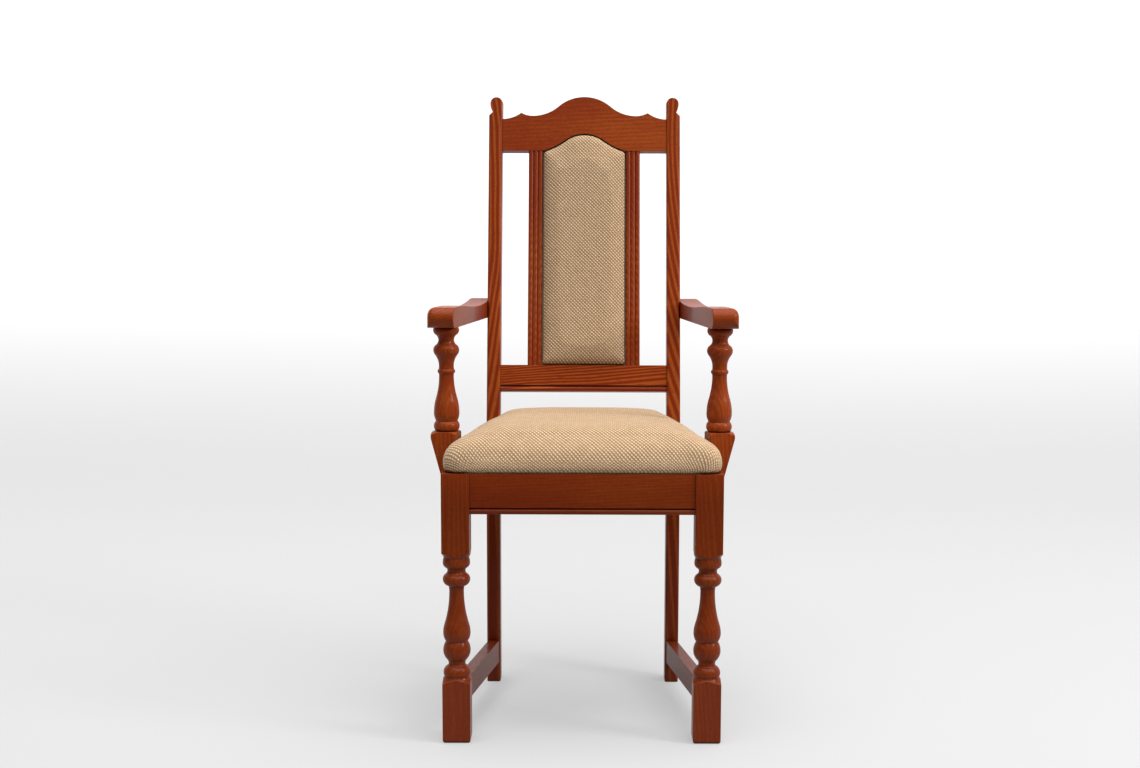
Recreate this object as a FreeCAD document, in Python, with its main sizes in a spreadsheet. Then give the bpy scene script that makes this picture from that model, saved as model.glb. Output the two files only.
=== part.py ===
import FreeCAD, Part
import math
import os
import Sketcher

# Captain's dining chair in stained oak with an upholstered seat and back panel.
# Millimetres. X points to the viewer's right, Y from the front to the back, Z up.
# Pieces are laid out in chair coordinates whose Y is zero at the front legs' faces,
# then every placement moves them so that the origin lies under the chair's middle.

Vector = FreeCAD.Vector
Rotation = FreeCAD.Rotation
SIDES = (("left", -1), ("right", 1))

SIZES = {
    # Plan of the frame
    "leg_spread": 460,
    "leg_square": 46,
    "post_spread": 358,
    "post_width": 25,
    "post_depth": 38,
    "post_setback": 372.5,
    "seat_frame_height": 451,
    "arris": 1.5,
    # Seat rails
    "rail_height": 67,
    "rail_thickness": 22,
    "rail_reveal": 3,
    "rail_bead": 8.6,
    "rail_bead_depth": 2.2,
    "rail_quirk": 2.4,
    "rail_quirk_depth": 3,
    # Tenons and mortises
    "tenon_thickness": 8,
    "tenon_shoulder": 8,
    "tenon_cheek": 3.5,
    "tenon_length": 20,
    "tenon_root": 5,
    "post_tenon_length": 10,
    "mortise_spare": 1,
    # Side stretchers
    "stretcher_height": 40.5,
    "stretcher_thickness": 20,
    "stretcher_lift": 38.5,
    "stretcher_reveal": 2.5,
    # Turned part of the front leg, from the upper block down to the lower one
    "leg_foot_block": 100.5,
    "leg_upper_block": 132,
    "leg_shoulder": 9.5,
    "leg_crease_dia": 42,
    "leg_bead_dia": 45.2,
    "leg_bead_above": 9,
    "leg_bead_below": 13.1,
    "leg_waist_dia": 30,
    "leg_ring_dia": 45.4,
    "leg_ring_above": 14.3,
    "leg_ring_below": 11.3,
    "leg_collar_dia": 26.4,
    "leg_neck_dia": 24.2,
    "leg_neck_above": 9.2,
    "leg_belly_dia": 45.4,
    "leg_belly_below": 14.4,
    "leg_groove_dia": 36.4,
    "leg_ball_dia": 45.4,
    "leg_ball_above": 15.3,
    "leg_ball_below": 22,
    "leg_ankle_dia": 27.7,
    "leg_foot_ring_dia": 45.2,
    "leg_foot_ring_above": 15.4,
    "leg_foot_ring_below": 6,
    "leg_toe_round": 5,
    "turning_spare": 0.3,
    # Back posts and the rake of the back
    "back_rake": 11.8,
    "bend_height": 450,
    "bend_radius": 560,
    "back_length": 652.5,
    "post_edge_round": 4,
    "head_width": 22.5,
    "head_height": 27.5,
    "beak_depth": 7,
    "beak_drop": 6.5,
    # Crest rail, heights measured from its underside
    "crest_underside": 551.5,
    "crest_setback": 3,
    "crest_thickness": 20,
    "crest_end_height": 60.3,
    "crest_cusp_height": 72.3,
    "crest_cusp_place": 118.5,
    "crest_dip_height": 66.5,
    "crest_dip_place": 97,
    "crest_middle_height": 102.8,
    "arch_half_width": 75.5,
    "arch_rise": 32.3,
    "arch_shoulder_place": 34,
    "arch_shoulder_rise": 22,
    "arch_foot_radius": 150,
    # Lower back rail and slats
    "lower_rail_underside": 99,
    "lower_rail_height": 48.5,
    "lower_rail_thickness": 22,
    "slat_spacing": 156,
    "slat_reveal": 0.5,
    "slat_reed": 8.65,
    "slat_reed_depth": 2.2,
    "slat_thickness": 19,
    "slat_tenon": 12,
    "slat_tenon_thickness": 8,
    # Upholstered back panel
    "panel_rebate": 10,
    "panel_board_thickness": 8,
    "panel_gap": 1,
    "panel_tuck": 1.2,
    "panel_crown": 11,
    "panel_side_round": 8,
    "panel_cloth_thickness": 1,
    "cloth_clearance": 0.3,
    "cover_thickness": 2,
    # Arms
    "arm_height": 680,
    "arm_width": 46,
    "arm_nose_thickness": 34.5,
    "arm_nose_front": 100,
    "arm_inner_front": 216.3,
    "arm_flat_length": 50,
    "arm_dip_place": 235,
    "arm_dip_thickness": 26.4,
    "arm_back_thickness": 34.5,
    "arm_length": 362,
    "arm_outer_round": 12,
    "arm_dowel_dia": 8,
    "arm_dowel_reach": 16,
    "arm_dowel_spacing": 13,
    "arm_dowel_lift": 8,
    # Arm supports, turned above a square foot lapped on the side rail
    "support_square": 46,
    "support_place": 142,
    "support_offset": 20,
    "support_foot_width": 13,
    "support_taper_top": 494,
    "support_block_top": 503.5,
    "support_shoulder": 7,
    "support_root_dia": 37.6,
    "support_ring_dia": 44,
    "support_ring_below": 8.7,
    "support_ring_above": 8.6,
    "support_groove_dia": 36.4,
    "support_belly_dia": 43.4,
    "support_belly_below": 13.7,
    "support_neck_dia": 25,
    "support_collar_dia": 29.8,
    "support_collar_half": 4,
    "support_collar_below": 3.5,
    "support_collar_step": 0.3,
    "support_stem_dia": 25.1,
    "support_stem_below": 5,
    "support_knop_dia": 43.9,
    "support_knop_below": 27.2,
    "support_knop_above": 17,
    "support_throat_dia": 26.4,
    "support_cap_dia": 44,
    "support_cap_above": 4.5,
    "support_cap_below": 17,
    "support_top_dia": 41,
    "support_tenon_dia": 18,
    "support_tenon_length": 18,
    "round_clearance": 0.1,
    # Corner blocks
    "block_leg": 50,
    "block_height": 42,
    "block_screw_drop": 14.7,
    # Screws
    "screw_dia": 4,
    "screw_head_dia": 8,
    "screw_head_height": 3,
    "screw_length": 28,
    "screw_tip": 3,
    "screw_seat": 12,
    "screw_place": 17,
    "screw_clearance": 0.2,
    "counterbore_dia": 10,
    "seat_screw_length": 36,
    "seat_screw_bite": 9,
    "support_screw_low": 402,
    "support_screw_high": 432,
    "panel_screw_length": 12,
    "panel_screw_margin": 60,
    # Seat
    "seat_board_thickness": 12,
    "seat_board_inset": 8,
    "post_clearance": 1.5,
    "seat_overhang": 1.3,
    "seat_front_overhang": 2,
    "seat_back_place": 390,
    "seat_corner": 34,
    "seat_top_corner": 60,
    "seat_bulge": 4.5,
    "seat_bulge_height": 24,
    "seat_crown_height": 72,
    "seat_crown_inset": 112,
    "support_notch_half": 27,
    "support_notch_clearance": 3,
    "dust_cover_thickness": 1,
    "dust_cover_margin": 3,
}

doc = FreeCAD.newDocument("captains_chair")
sheet = doc.addObject("Spreadsheet::Sheet", "Sizes")
for row, (alias, number) in enumerate(SIZES.items(), start=1):
    sheet.set(f"A{row}", alias.replace("_", " "))
    sheet.set(f"B{row}", str(number))
    sheet.setAlias(f"B{row}", alias)
doc.recompute()
derived = doc.addObject("App::VarSet", "Derived")


class Term:
    """A number together with the spreadsheet expression that gives it."""

    def __init__(self, value, text):
        self.value = value
        self.text = text

    def _with(self, other, sign, value, swap=False):
        first, second = (term(other), self) if swap else (self, term(other))
        return Term(value, f"({first.text} {sign} {second.text})")

    def __add__(self, other):
        return self._with(other, "+", self.value + term(other).value)

    def __radd__(self, other):
        return self._with(other, "+", term(other).value + self.value, True)

    def __sub__(self, other):
        return self._with(other, "-", self.value - term(other).value)

    def __rsub__(self, other):
        return self._with(other, "-", term(other).value - self.value, True)

    def __mul__(self, other):
        return self._with(other, "*", self.value * term(other).value)

    def __rmul__(self, other):
        return self._with(other, "*", term(other).value * self.value, True)

    def __truediv__(self, other):
        return self._with(other, "/", self.value / term(other).value)

    def __rtruediv__(self, other):
        return self._with(other, "/", term(other).value / self.value, True)

    def __neg__(self):
        return Term(-self.value, f"(-1 * {self.text})")


def term(number):
    return number if isinstance(number, Term) else Term(float(number), repr(number))


def size(alias):
    return Term(float(sheet.get(alias)), f"Sizes.{alias}")


def root(number):
    return Term(math.sqrt(number.value), f"sqrt({number.text})")


def sine(degrees):
    return Term(math.sin(math.radians(degrees.value)), f"sin({degrees.text})")


def cosine(degrees):
    return Term(math.cos(math.radians(degrees.value)), f"cos({degrees.text})")


def tangent(degrees):
    return Term(math.tan(math.radians(degrees.value)), f"tan({degrees.text})")


def slope_angle(slope):
    return Term(math.degrees(math.atan(slope.value)), f"(atan({slope.text}) / 1deg)")


def keep(name, number):
    """Stores a derived size in the document, so that expressions stay short."""
    derived.addProperty("App::PropertyFloat", name, "Derived")
    derived.setExpression(name, number.text)
    return Term(number.value, f"Derived.{name}")


def bind(item, path, number):
    item.setExpression(path, term(number).text)


# Sketches and features

def new_body(label):
    body = doc.addObject("PartDesign::Body", label)
    body.Label = label
    return body


def place(body, x, y, z, axis=Vector(0, 0, 1), angle=None):
    turn = Rotation(axis, term(angle).value) if angle is not None else Rotation()
    body.Placement = FreeCAD.Placement(Vector(0, 0, 0), turn)
    for path, number in (("x", x), ("y", y), ("z", z)):
        bind(body, f"Placement.Base.{path}", number)
    if angle is not None:
        bind(body, "Placement.Rotation.Angle", angle)


def attach(body, item, plane, offset=None):
    support = [f for f in body.Origin.OriginFeatures if f.Role == plane + "_Plane"][0]
    item.AttachmentSupport = [(support, "")]
    item.MapMode = "FlatFace"
    if offset is not None:
        bind(item, "AttachmentOffset.Base.z", offset)


def arc_centre(start, end, rule):
    """Centre of the arc from start to end under its rule."""
    (ax, ay), (bx, by) = start, end
    kind = rule[0]
    if kind == "level start":
        return (bx * bx - ax * ax + (by - ay) ** 2) / (2 * (bx - ax)), ay
    if kind == "level end":
        return (ax * ax - bx * bx + (by - ay) ** 2) / (2 * (ax - bx)), by
    if kind == "plumb start":
        return ax, (by * by - ay * ay + (bx - ax) ** 2) / (2 * (by - ay))
    if kind == "plumb end":
        return bx, (ay * ay - by * by + (bx - ax) ** 2) / (2 * (ay - by))
    radius, bulge = term(rule[1]).value, rule[2]
    chord = math.hypot(bx - ax, by - ay)
    lift = math.sqrt(max(radius * radius - chord * chord / 4, 0))
    return ((ax + bx) / 2 - bulge * lift * (ay - by) / chord,
            (ay + by) / 2 - bulge * lift * (bx - ax) / chord)


def outline(body, name, plane, corners, arcs=None, offset=None):
    """Closed, fully constrained sketch. Each corner is a pair of sizes.

    arcs gives, by the index of its first corner, the rule of a side that isn't straight:
    its centre level with or plumb to one end, or a radius and the side it bulges to.
    """
    sketch = body.newObject("Sketcher::SketchObject", name)
    attach(body, sketch, plane, offset)
    arcs = arcs or {}
    terms = [(term(x), term(y)) for x, y in corners]
    points = [(x.value, y.value) for x, y in terms]
    count = len(points)
    ends = []
    for i, (ax, ay) in enumerate(points):
        bx, by = points[(i + 1) % count]
        if i not in arcs:
            sketch.addGeometry(Part.LineSegment(Vector(ax, ay, 0), Vector(bx, by, 0)), False)
            ends.append((1, 2))
            continue
        cx, cy = arc_centre((ax, ay), (bx, by), arcs[i])
        start, end = math.atan2(ay - cy, ax - cx), math.atan2(by - cy, bx - cx)
        forward = (end - start) % (2 * math.pi) <= math.pi
        circle = Part.Circle(Vector(cx, cy, 0), Vector(0, 0, 1), math.hypot(ax - cx, ay - cy))
        first, last = (start, end) if forward else (end, start)
        sketch.addGeometry(Part.ArcOfCircle(circle, first, last), False)
        ends.append((1, 2) if forward else (2, 1))
    rules = []
    for i in range(count):
        following = (i + 1) % count
        rules.append((Sketcher.Constraint("Coincident", i, ends[i][1], following, ends[following][0]), None))
    for i, (x, y) in enumerate(terms):
        for kind, number, axis in (("DistanceX", x, -2), ("DistanceY", y, -1)):
            if number.text == "0":
                rules.append((Sketcher.Constraint("PointOnObject", i, ends[i][0], axis), None))
            else:
                rules.append((Sketcher.Constraint(kind, -1, 1, i, ends[i][0], number.value), number))
    for i, rule in arcs.items():
        kind = rule[0]
        if kind == "radius":
            rules.append((Sketcher.Constraint("Radius", i, term(rule[1]).value), term(rule[1])))
        else:
            alignment = "Horizontal" if kind.startswith("level") else "Vertical"
            end = ends[i][0] if kind.endswith("start") else ends[i][1]
            rules.append((Sketcher.Constraint(alignment, i, 3, i, end), None))
    for rule, number in rules:
        index = sketch.addConstraint(rule)
        if number is not None and number.text.startswith(("(", "Sizes", "Derived")):
            sketch.setExpression(f"Constraints[{index}]", number.text)
    return sketch


def sketched(body, kind, name, sketch, length=None, reverse=False):
    feature = body.newObject("PartDesign::" + kind, name)
    feature.Profile = sketch
    if kind in ("Groove", "Revolution"):
        feature.ReferenceAxis = (sketch, ["V_Axis"])
        feature.Angle = 360
    else:
        bind(feature, "Length", length)
    feature.Reversed = reverse
    body.Tip = feature
    return feature


def block(body, kind, name, corner, extent, lean=None):
    """Adds or cuts a box with its low corner at corner, leaning about X if asked."""
    feature = body.newObject(f"PartDesign::{kind}Box", name)
    if lean is not None:
        feature.Placement = FreeCAD.Placement(Vector(0, 0, 0), Rotation(Vector(1, 0, 0), term(lean).value))
        bind(feature, "Placement.Rotation.Angle", lean)
    for path, number in zip("xyz", corner):
        bind(feature, f"Placement.Base.{path}", number)
    for path, number in zip(("Length", "Width", "Height"), extent):
        bind(feature, path, number)
    body.Tip = feature
    return feature


def bore(body, kind, name, x, y, z, angle, diameter, length):
    """Round hole or peg, level, along the direction at angle to X in plan."""
    feature = body.newObject(f"PartDesign::{kind}Cylinder", name)
    attach(body, feature, "YZ", x)
    turn = Rotation(Vector(0, 1, 0), term(angle).value)
    feature.AttachmentOffset = FreeCAD.Placement(Vector(0, 0, 0), turn)
    bind(feature, "AttachmentOffset.Base.x", y)
    bind(feature, "AttachmentOffset.Base.y", z)
    bind(feature, "AttachmentOffset.Base.z", x)
    bind(feature, "AttachmentOffset.Rotation.Angle", angle)
    bind(feature, "Radius", term(diameter) / 2)
    bind(feature, "Height", length)
    body.Tip = feature
    return feature


def plumb_bore(body, kind, name, x, y, z, diameter, length):
    """Round hole or peg standing on the point x, y, z."""
    feature = body.newObject(f"PartDesign::{kind}Cylinder", name)
    for path, number in zip("xyz", (x, y, z)):
        bind(feature, f"Placement.Base.{path}", number)
    bind(feature, "Radius", term(diameter) / 2)
    bind(feature, "Height", length)
    body.Tip = feature
    return feature


def round_edges(body, name, radius, wanted):
    """Rounds the edges of the body's last feature that the wanted test accepts."""
    doc.recompute()
    base = body.Tip
    names = [f"Edge{i}" for i, edge in enumerate(base.Shape.Edges, start=1) if wanted(edge)]
    if not names:
        raise RuntimeError(f"{body.Label}: no edges for {name}")
    feature = body.newObject("PartDesign::Fillet", name)
    feature.Base = (base, names)
    bind(feature, "Radius", radius)
    body.Tip = feature
    return feature


def near(a, b):
    return abs(a - b) < 0.01


def upright(edge):
    first, last = edge.Vertexes[0].Point, edge.Vertexes[-1].Point
    return near(first.x, last.x) and near(first.y, last.y) and not near(first.z, last.z)


def turned(stations, reach):
    """Corners and arcs of a turned outline, from stations (height, radius, kind).

    Two smooth stations are joined by an ogee whose first share is the number given after
    the kind. A smooth station and a crease are joined by one arc. reach closes it outside,
    or on the axis when it is zero.
    """
    corners, arcs = [], {}
    for here, there in zip(stations, stations[1:]):
        (z1, r1, kind1), (z2, r2, kind2) = here[:3], there[:3]
        index = len(corners)
        corners.append((r1, z1))
        if kind1 == "smooth" and kind2 == "smooth":
            share = here[3] if len(here) > 3 else 0.5
            corners.append((r1 + (r2 - r1) * share, z1 + (z2 - z1) * share))
            arcs[index] = ("level start",)
            arcs[index + 1] = ("level end",)
        elif kind1 == "smooth":
            arcs[index] = ("level start",)
        elif kind2 == "smooth":
            arcs[index] = ("level end",)
        elif kind1 == "shoulder":
            arcs[index] = ("radius", here[3], here[4])
    corners.append((stations[-1][1], stations[-1][0]))
    corners.append((reach, stations[-1][0]))
    corners.append((reach, stations[0][0]))
    return corners, arcs


# Frame lines that several pieces share

half_leg = size("leg_square") / 2
half_post = size("post_width") / 2
leg_axis = keep("leg_axis", size("leg_spread") / 2 - half_leg)
leg_inner = keep("leg_inner", leg_axis - half_leg)
post_axis = keep("post_axis", size("post_spread") / 2 - half_post)
post_inner = keep("post_inner", post_axis - half_post)
post_face = size("post_setback")
rail_top = size("seat_frame_height")
rail_bottom = keep("rail_bottom", rail_top - size("rail_height"))
side_run = keep("side_run", post_face - size("leg_square"))
side_slope = keep("side_slope", (size("leg_spread") - size("post_spread")) / 2 / side_run)
side_stretch = keep("side_stretch", root(1 + side_slope * side_slope))
side_sine = keep("side_sine", side_slope / side_stretch)
side_cosine = keep("side_cosine", 1 / side_stretch)
side_angle = keep("side_angle", slope_angle(side_slope))
rake = size("back_rake")
rake_sine = keep("rake_sine", sine(rake))
rake_cosine = keep("rake_cosine", cosine(rake))
bend_low = keep("bend_low", size("bend_height") - size("bend_radius") * tangent(rake / 2))


def side_line(spread_inset, y):
    """Distance from the middle plane to a line along the chair's side at depth y."""
    return leg_axis + half_leg - spread_inset - side_slope * (y - size("leg_square"))


def raked(depth, along):
    """Depth and height, in chair coordinates, of a point on the raked back."""
    return (post_face + along * rake_sine + depth * rake_cosine,
            size("bend_height") + along * rake_cosine - depth * rake_sine)


rail_across = keep("rail_across", size("rail_thickness") * side_stretch)
stretcher_across = keep("stretcher_across", size("stretcher_thickness") * side_stretch)
rail_inside_face = keep("rail_inside_face", size("rail_reveal") + size("rail_thickness"))
post_top = raked(0, size("back_length"))
front_reach = keep("front_reach", -(size("seat_front_overhang") + size("seat_bulge")))
back_reach = keep("back_reach", raked(size("post_depth"), size("back_length"))[0])
shift = keep("shift", -(front_reach + back_reach) / 2)

# Front legs

leg_turn_top = keep("leg_turn_top", rail_top - size("leg_upper_block"))
leg_turn_bottom = size("leg_foot_block")


def leg_stations():
    corner = half_leg * math.sqrt(2) + size("turning_spare")
    top_crease = leg_turn_top - size("leg_shoulder")
    bead = top_crease - size("leg_bead_above")
    waist = bead - size("leg_bead_below")
    ring = waist - size("leg_ring_above")
    collar = ring - size("leg_ring_below")
    neck = collar - size("leg_neck_above")
    foot_crease = leg_turn_bottom + size("leg_shoulder")
    foot_ring = foot_crease + size("leg_foot_ring_below")
    ankle = foot_ring + size("leg_foot_ring_above")
    ball = ankle + size("leg_ball_below")
    groove = ball + size("leg_ball_above")
    belly = groove + size("leg_belly_below")
    return [
        (leg_turn_top, corner, "shoulder", 14, -1),
        (top_crease, size("leg_crease_dia") / 2, "crease"),
        (bead, size("leg_bead_dia") / 2, "smooth", 0.6),
        (waist, size("leg_waist_dia") / 2, "smooth", 0.4),
        (ring, size("leg_ring_dia") / 2, "smooth"),
        (collar, size("leg_collar_dia") / 2, "crease"),
        (neck, size("leg_neck_dia") / 2, "smooth", 0.8),
        (belly, size("leg_belly_dia") / 2, "smooth"),
        (groove, size("leg_groove_dia") / 2, "crease"),
        (ball, size("leg_ball_dia") / 2, "smooth", 0.7),
        (ankle, size("leg_ankle_dia") / 2, "smooth", 0.25),
        (foot_ring, size("leg_foot_ring_dia") / 2, "smooth"),
        (foot_crease, size("leg_crease_dia") / 2, "shoulder", 14, -1),
        (leg_turn_bottom, corner, "crease"),
    ]


def front_leg(side, sign):
    body = new_body(f"front_leg_{side}")
    corners = [(-half_leg, -half_leg), (half_leg, -half_leg), (half_leg, half_leg), (-half_leg, half_leg)]
    square = outline(body, f"leg_square_{side}", "XY", corners)
    sketched(body, "Pad", f"leg_blank_{side}", square, rail_top)
    round_edges(body, f"leg_arris_{side}", size("arris"), upright)
    round_edges(body, f"leg_toe_{side}", size("leg_toe_round"), lambda e: near(e.BoundBox.ZMax, 0))
    corners, arcs = turned(leg_stations(), half_leg * math.sqrt(2) + 6)
    turning = outline(body, f"leg_turning_{side}", "XZ", corners, arcs)
    sketched(body, "Groove", f"leg_turned_{side}", turning)
    spare = size("mortise_spare")
    front_depth = size("tenon_length") + spare
    rail_tenon_height = size("rail_height") - 2 * size("tenon_shoulder")
    front_low = half_leg - front_depth if sign < 0 else -half_leg
    block(body, "Subtractive", f"front_rail_mortise_{side}",
          (front_low, front_tenon_face - half_leg, rail_bottom + size("tenon_shoulder")),
          (front_depth, size("tenon_thickness"), rail_tenon_height))
    for name, reveal, low, height in (
            ("rail", size("rail_reveal"), rail_bottom, size("rail_height")),
            ("stretcher", size("stretcher_reveal"), size("stretcher_lift"), size("stretcher_height"))):
        outer = half_leg - reveal - size("tenon_cheek")
        left_edge = outer - size("tenon_thickness") if sign > 0 else -outer
        block(body, "Subtractive", f"side_{name}_mortise_{side}",
              (left_edge, half_leg - front_depth, low + size("tenon_shoulder")),
              (size("tenon_thickness"), front_depth, height - 2 * size("tenon_shoulder")))
    place(body, sign * leg_axis, half_leg + shift, 0)
    return body


# Back posts

rear_tenon_face = keep("rear_tenon_face", size("rail_thickness") / 2 - size("tenon_thickness") / 2)
front_tenon_face = keep("front_tenon_face", size("rail_reveal") + rear_tenon_face)


def back_post(side, sign):
    body = new_body(f"back_post_{side}")
    front_bend, back_bend = size("bend_radius"), size("bend_radius") - size("post_depth")
    depth, along = size("post_depth"), size("back_length")
    rise = size("bend_height") - bend_low
    front_top = (along * rake_sine, size("bend_height") + along * rake_cosine)
    back_top = (front_top[0] + depth * rake_cosine, front_top[1] - depth * rake_sine)
    corners = [
        (0, 0),
        (depth, 0),
        (depth, bend_low),
        (front_bend - back_bend * rake_cosine, bend_low + back_bend * rake_sine),
        back_top,
        front_top,
        (front_bend * (1 - rake_cosine), bend_low + front_bend * rake_sine),
        (0, bend_low),
    ]
    arcs = {2: ("level start",), 6: ("level end",)}
    profile = outline(body, f"post_profile_{side}", "YZ", corners, arcs, -half_post)
    sketched(body, "Pad", f"post_blank_{side}", profile, size("post_width"))
    round_edges(body, f"post_edges_{side}", size("post_edge_round"),
                lambda e: e.Length > 60 and front_edge_of_post(e))
    round_edges(body, f"post_toe_{side}", size("arris"), lambda e: near(e.BoundBox.ZMax, 0))
    head_cut(body, side, sign)
    spare = size("mortise_spare")
    side_depth = size("post_tenon_length") + spare
    inner_low = -half_post if sign > 0 else half_post - side_depth
    tenon_z = rail_bottom + size("tenon_shoulder")
    block(body, "Subtractive", f"rear_rail_mortise_{side}", (inner_low, rear_tenon_face, tenon_z),
          (side_depth, size("tenon_thickness"), size("rail_height") - 2 * size("tenon_shoulder")))
    for name, reveal, low, height in (
            ("rail", size("rail_reveal"), rail_bottom, size("rail_height")),
            ("stretcher", size("stretcher_reveal"), size("stretcher_lift"), size("stretcher_height"))):
        outer = half_post - reveal - size("tenon_cheek")
        left_edge = outer - size("tenon_thickness") if sign > 0 else -outer
        block(body, "Subtractive", f"side_{name}_socket_{side}",
              (left_edge, 0, low + size("tenon_shoulder")),
              (size("tenon_thickness"), size("tenon_length") + spare, height - 2 * size("tenon_shoulder")))
    for name, setback, thickness, low, height in (
            ("crest", size("crest_setback"), size("crest_thickness"),
             size("crest_underside"), size("crest_end_height")),
            ("lower", size("crest_setback"), size("lower_rail_thickness"),
             size("lower_rail_underside"), size("lower_rail_height"))):
        inset = setback + (thickness - size("tenon_thickness")) / 2
        y, z = raked(inset, low + size("tenon_shoulder"))
        block(body, "Subtractive", f"{name}_mortise_{side}", (inner_low, y - post_face, z),
              (side_depth, size("tenon_thickness"), height - 2 * size("tenon_shoulder")), -rake)
    dowel_y, dowel_z = arm_dowel_points()
    for number, (y, z) in enumerate(zip(dowel_y, dowel_z), start=1):
        start = half_post - size("arm_dowel_reach") / 2 - spare
        bore(body, "Subtractive", f"dowel_hole_{number}_{side}", sign * start, y - post_face, z,
             0 if sign > 0 else 180, size("arm_dowel_dia") + size("round_clearance"),
             size("arm_dowel_reach"))
    place(body, sign * post_axis, post_face + shift, 0)
    return body


def front_edge_of_post(edge):
    """True for the two long edges of the post's front, below and above the bend."""
    middle = edge.CenterOfMass
    slope = math.tan(math.radians(rake.value))
    line = max(0, middle.z - size("bend_height").value) * slope
    across = near(edge.BoundBox.XMin, edge.BoundBox.XMax)
    return across and middle.y < line + size("post_depth").value / 2


def head_cut(body, side, sign):
    """Shapes the rounded head and the beak notch under it, seen from the front."""
    head = size("head_width")
    top = size("bend_height") + size("back_length") * rake_cosine
    inner = -half_post
    outer = inner + head
    middle = inner + head / 2
    ball = top - head / 2
    notch_z = top - size("head_height")
    notch_x = half_post - size("beak_depth")
    margin = half_post + 8
    corners = [
        (sign * margin, notch_z - size("beak_drop")),
        (sign * half_post, notch_z - size("beak_drop")),
        (sign * notch_x, notch_z),
        (sign * outer, ball),
        (sign * middle, top),
        (sign * inner, ball),
        (-sign * margin, ball),
        (-sign * margin, top + 20),
        (sign * margin, top + 20),
    ]
    arcs = {2: ("level end",), 3: ("level start",), 4: ("plumb start",)}
    reach = size("post_depth") * 2 + post_top[0] - post_face
    sketch = outline(body, f"head_outline_{side}", "XZ", corners, arcs, -reach)
    sketched(body, "Pocket", f"head_{side}", sketch, reach + size("post_depth"), True)


def arm_dowel_points():
    """Depths and heights of the two dowels between an arm and its post."""
    middle = raked(size("post_depth") / 2, (size("arm_height") + size("arm_dowel_lift")
                                             - size("bend_height")) / rake_cosine)[0]
    height = size("arm_height") + size("arm_dowel_lift")
    half = size("arm_dowel_spacing") / 2
    return (middle - half, middle + half), (height, height)


# Seat rails and stretchers

def cross_rail_profile(front, back, low, high):
    """Rail section with a round bead and a sunk quirk along its lower front edge."""
    bead, quirk = size("rail_bead"), size("rail_quirk")
    sunk = front + size("rail_quirk_depth")
    flank = front + size("rail_bead_depth")
    corners = [
        (flank, low),
        (back, low),
        (back, high),
        (front, high),
        (front, low + bead + quirk),
        (sunk, low + bead + quirk),
        (sunk, low + bead),
        (flank, low + bead),
    ]
    return corners, {7: ("radius", round_over(bead, size("rail_bead_depth")), -1)}


def round_over(wide, deep):
    """Radius of an arc that is wide across and deep in its middle."""
    return (wide * wide / 4 + deep * deep) / (2 * deep)


def front_seat_rail():
    body = new_body("front_seat_rail")
    front = size("rail_reveal")
    corners, arcs = cross_rail_profile(front, rail_inside_face, rail_bottom, rail_top)
    profile = outline(body, "front_rail_profile", "YZ", corners, arcs, -leg_inner)
    sketched(body, "Pad", "front_rail_blank", profile, 2 * leg_inner)
    reach = size("tenon_length")
    for side, low in (("left", -(leg_inner + reach)), ("right", leg_inner - size("tenon_root"))):
        block(body, "Additive", f"front_rail_tenon_{side}",
              (low, front_tenon_face, rail_bottom + size("tenon_shoulder")),
              (reach + size("tenon_root"), size("tenon_thickness"),
               size("rail_height") - 2 * size("tenon_shoulder")))
    for side, sign in SIDES:
        block_pilot(body, f"front_rail_pilot_{side}", sign * front_screw_x, rail_inside_face, -90)
    place(body, 0, shift, 0)
    return body


def block_pilot(body, name, x, y, angle):
    """Pilot hole in a rail for a corner block's screw."""
    bore(body, "Subtractive", name, x, y, block_screw_height, angle,
         size("screw_dia") + size("round_clearance"), block_screw_bite)


def rear_seat_rail():
    body = new_body("rear_seat_rail")
    reach = size("post_tenon_length")
    block(body, "Additive", "rear_rail_blank", (-post_inner, 0, rail_bottom),
          (2 * post_inner, size("rail_thickness"), size("rail_height")))
    block(body, "Additive", "rear_rail_tenons",
          (-(post_inner + reach), rear_tenon_face, rail_bottom + size("tenon_shoulder")),
          (2 * (post_inner + reach), size("tenon_thickness"),
           size("rail_height") - 2 * size("tenon_shoulder")))
    for side, sign in SIDES:
        block_pilot(body, f"rear_rail_pilot_{side}", sign * rear_screw_x, 0, 90)
    place(body, 0, post_face + shift, 0)
    return body


def side_piece(label, side, sign, reveal, across, low, height):
    """Rail or stretcher that runs from a front leg back to its post, with tenons."""
    body = new_body(f"{label}_{side}")
    front, back = size("leg_square"), post_face
    corners = [
        (sign * side_line(reveal, front), front),
        (sign * side_line(reveal, back), back),
        (sign * (side_line(reveal, back) - across), back),
        (sign * (side_line(reveal, front) - across), front),
    ]
    plan = outline(body, f"{label}_plan_{side}", "XY", corners, None, low)
    sketched(body, "Pad", f"{label}_blank_{side}", plan, height)
    cheek, reach = size("tenon_cheek"), size("tenon_length")
    for end, place_y, start in (("front", front, front - reach), ("back", back, back - 4)):
        outer = side_line(reveal, place_y) - cheek
        left_edge = outer - size("tenon_thickness") if sign > 0 else -outer
        block(body, "Additive", f"{label}_{end}_tenon_{side}",
              (left_edge, start, low + size("tenon_shoulder")),
              (size("tenon_thickness"), reach + 4, height - 2 * size("tenon_shoulder")))
    place(body, 0, shift, 0)
    return body


def screw_line(place_y, inset=0):
    """Point on the side rail's inner face at depth y, moved inwards by inset."""
    x = side_line(size("rail_reveal"), place_y) - rail_across
    return x - inset * side_cosine, place_y - inset * side_sine


def outward(sign):
    """Plan direction square to the side rail and away from the seat."""
    return side_angle if sign > 0 else 180 - side_angle



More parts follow.
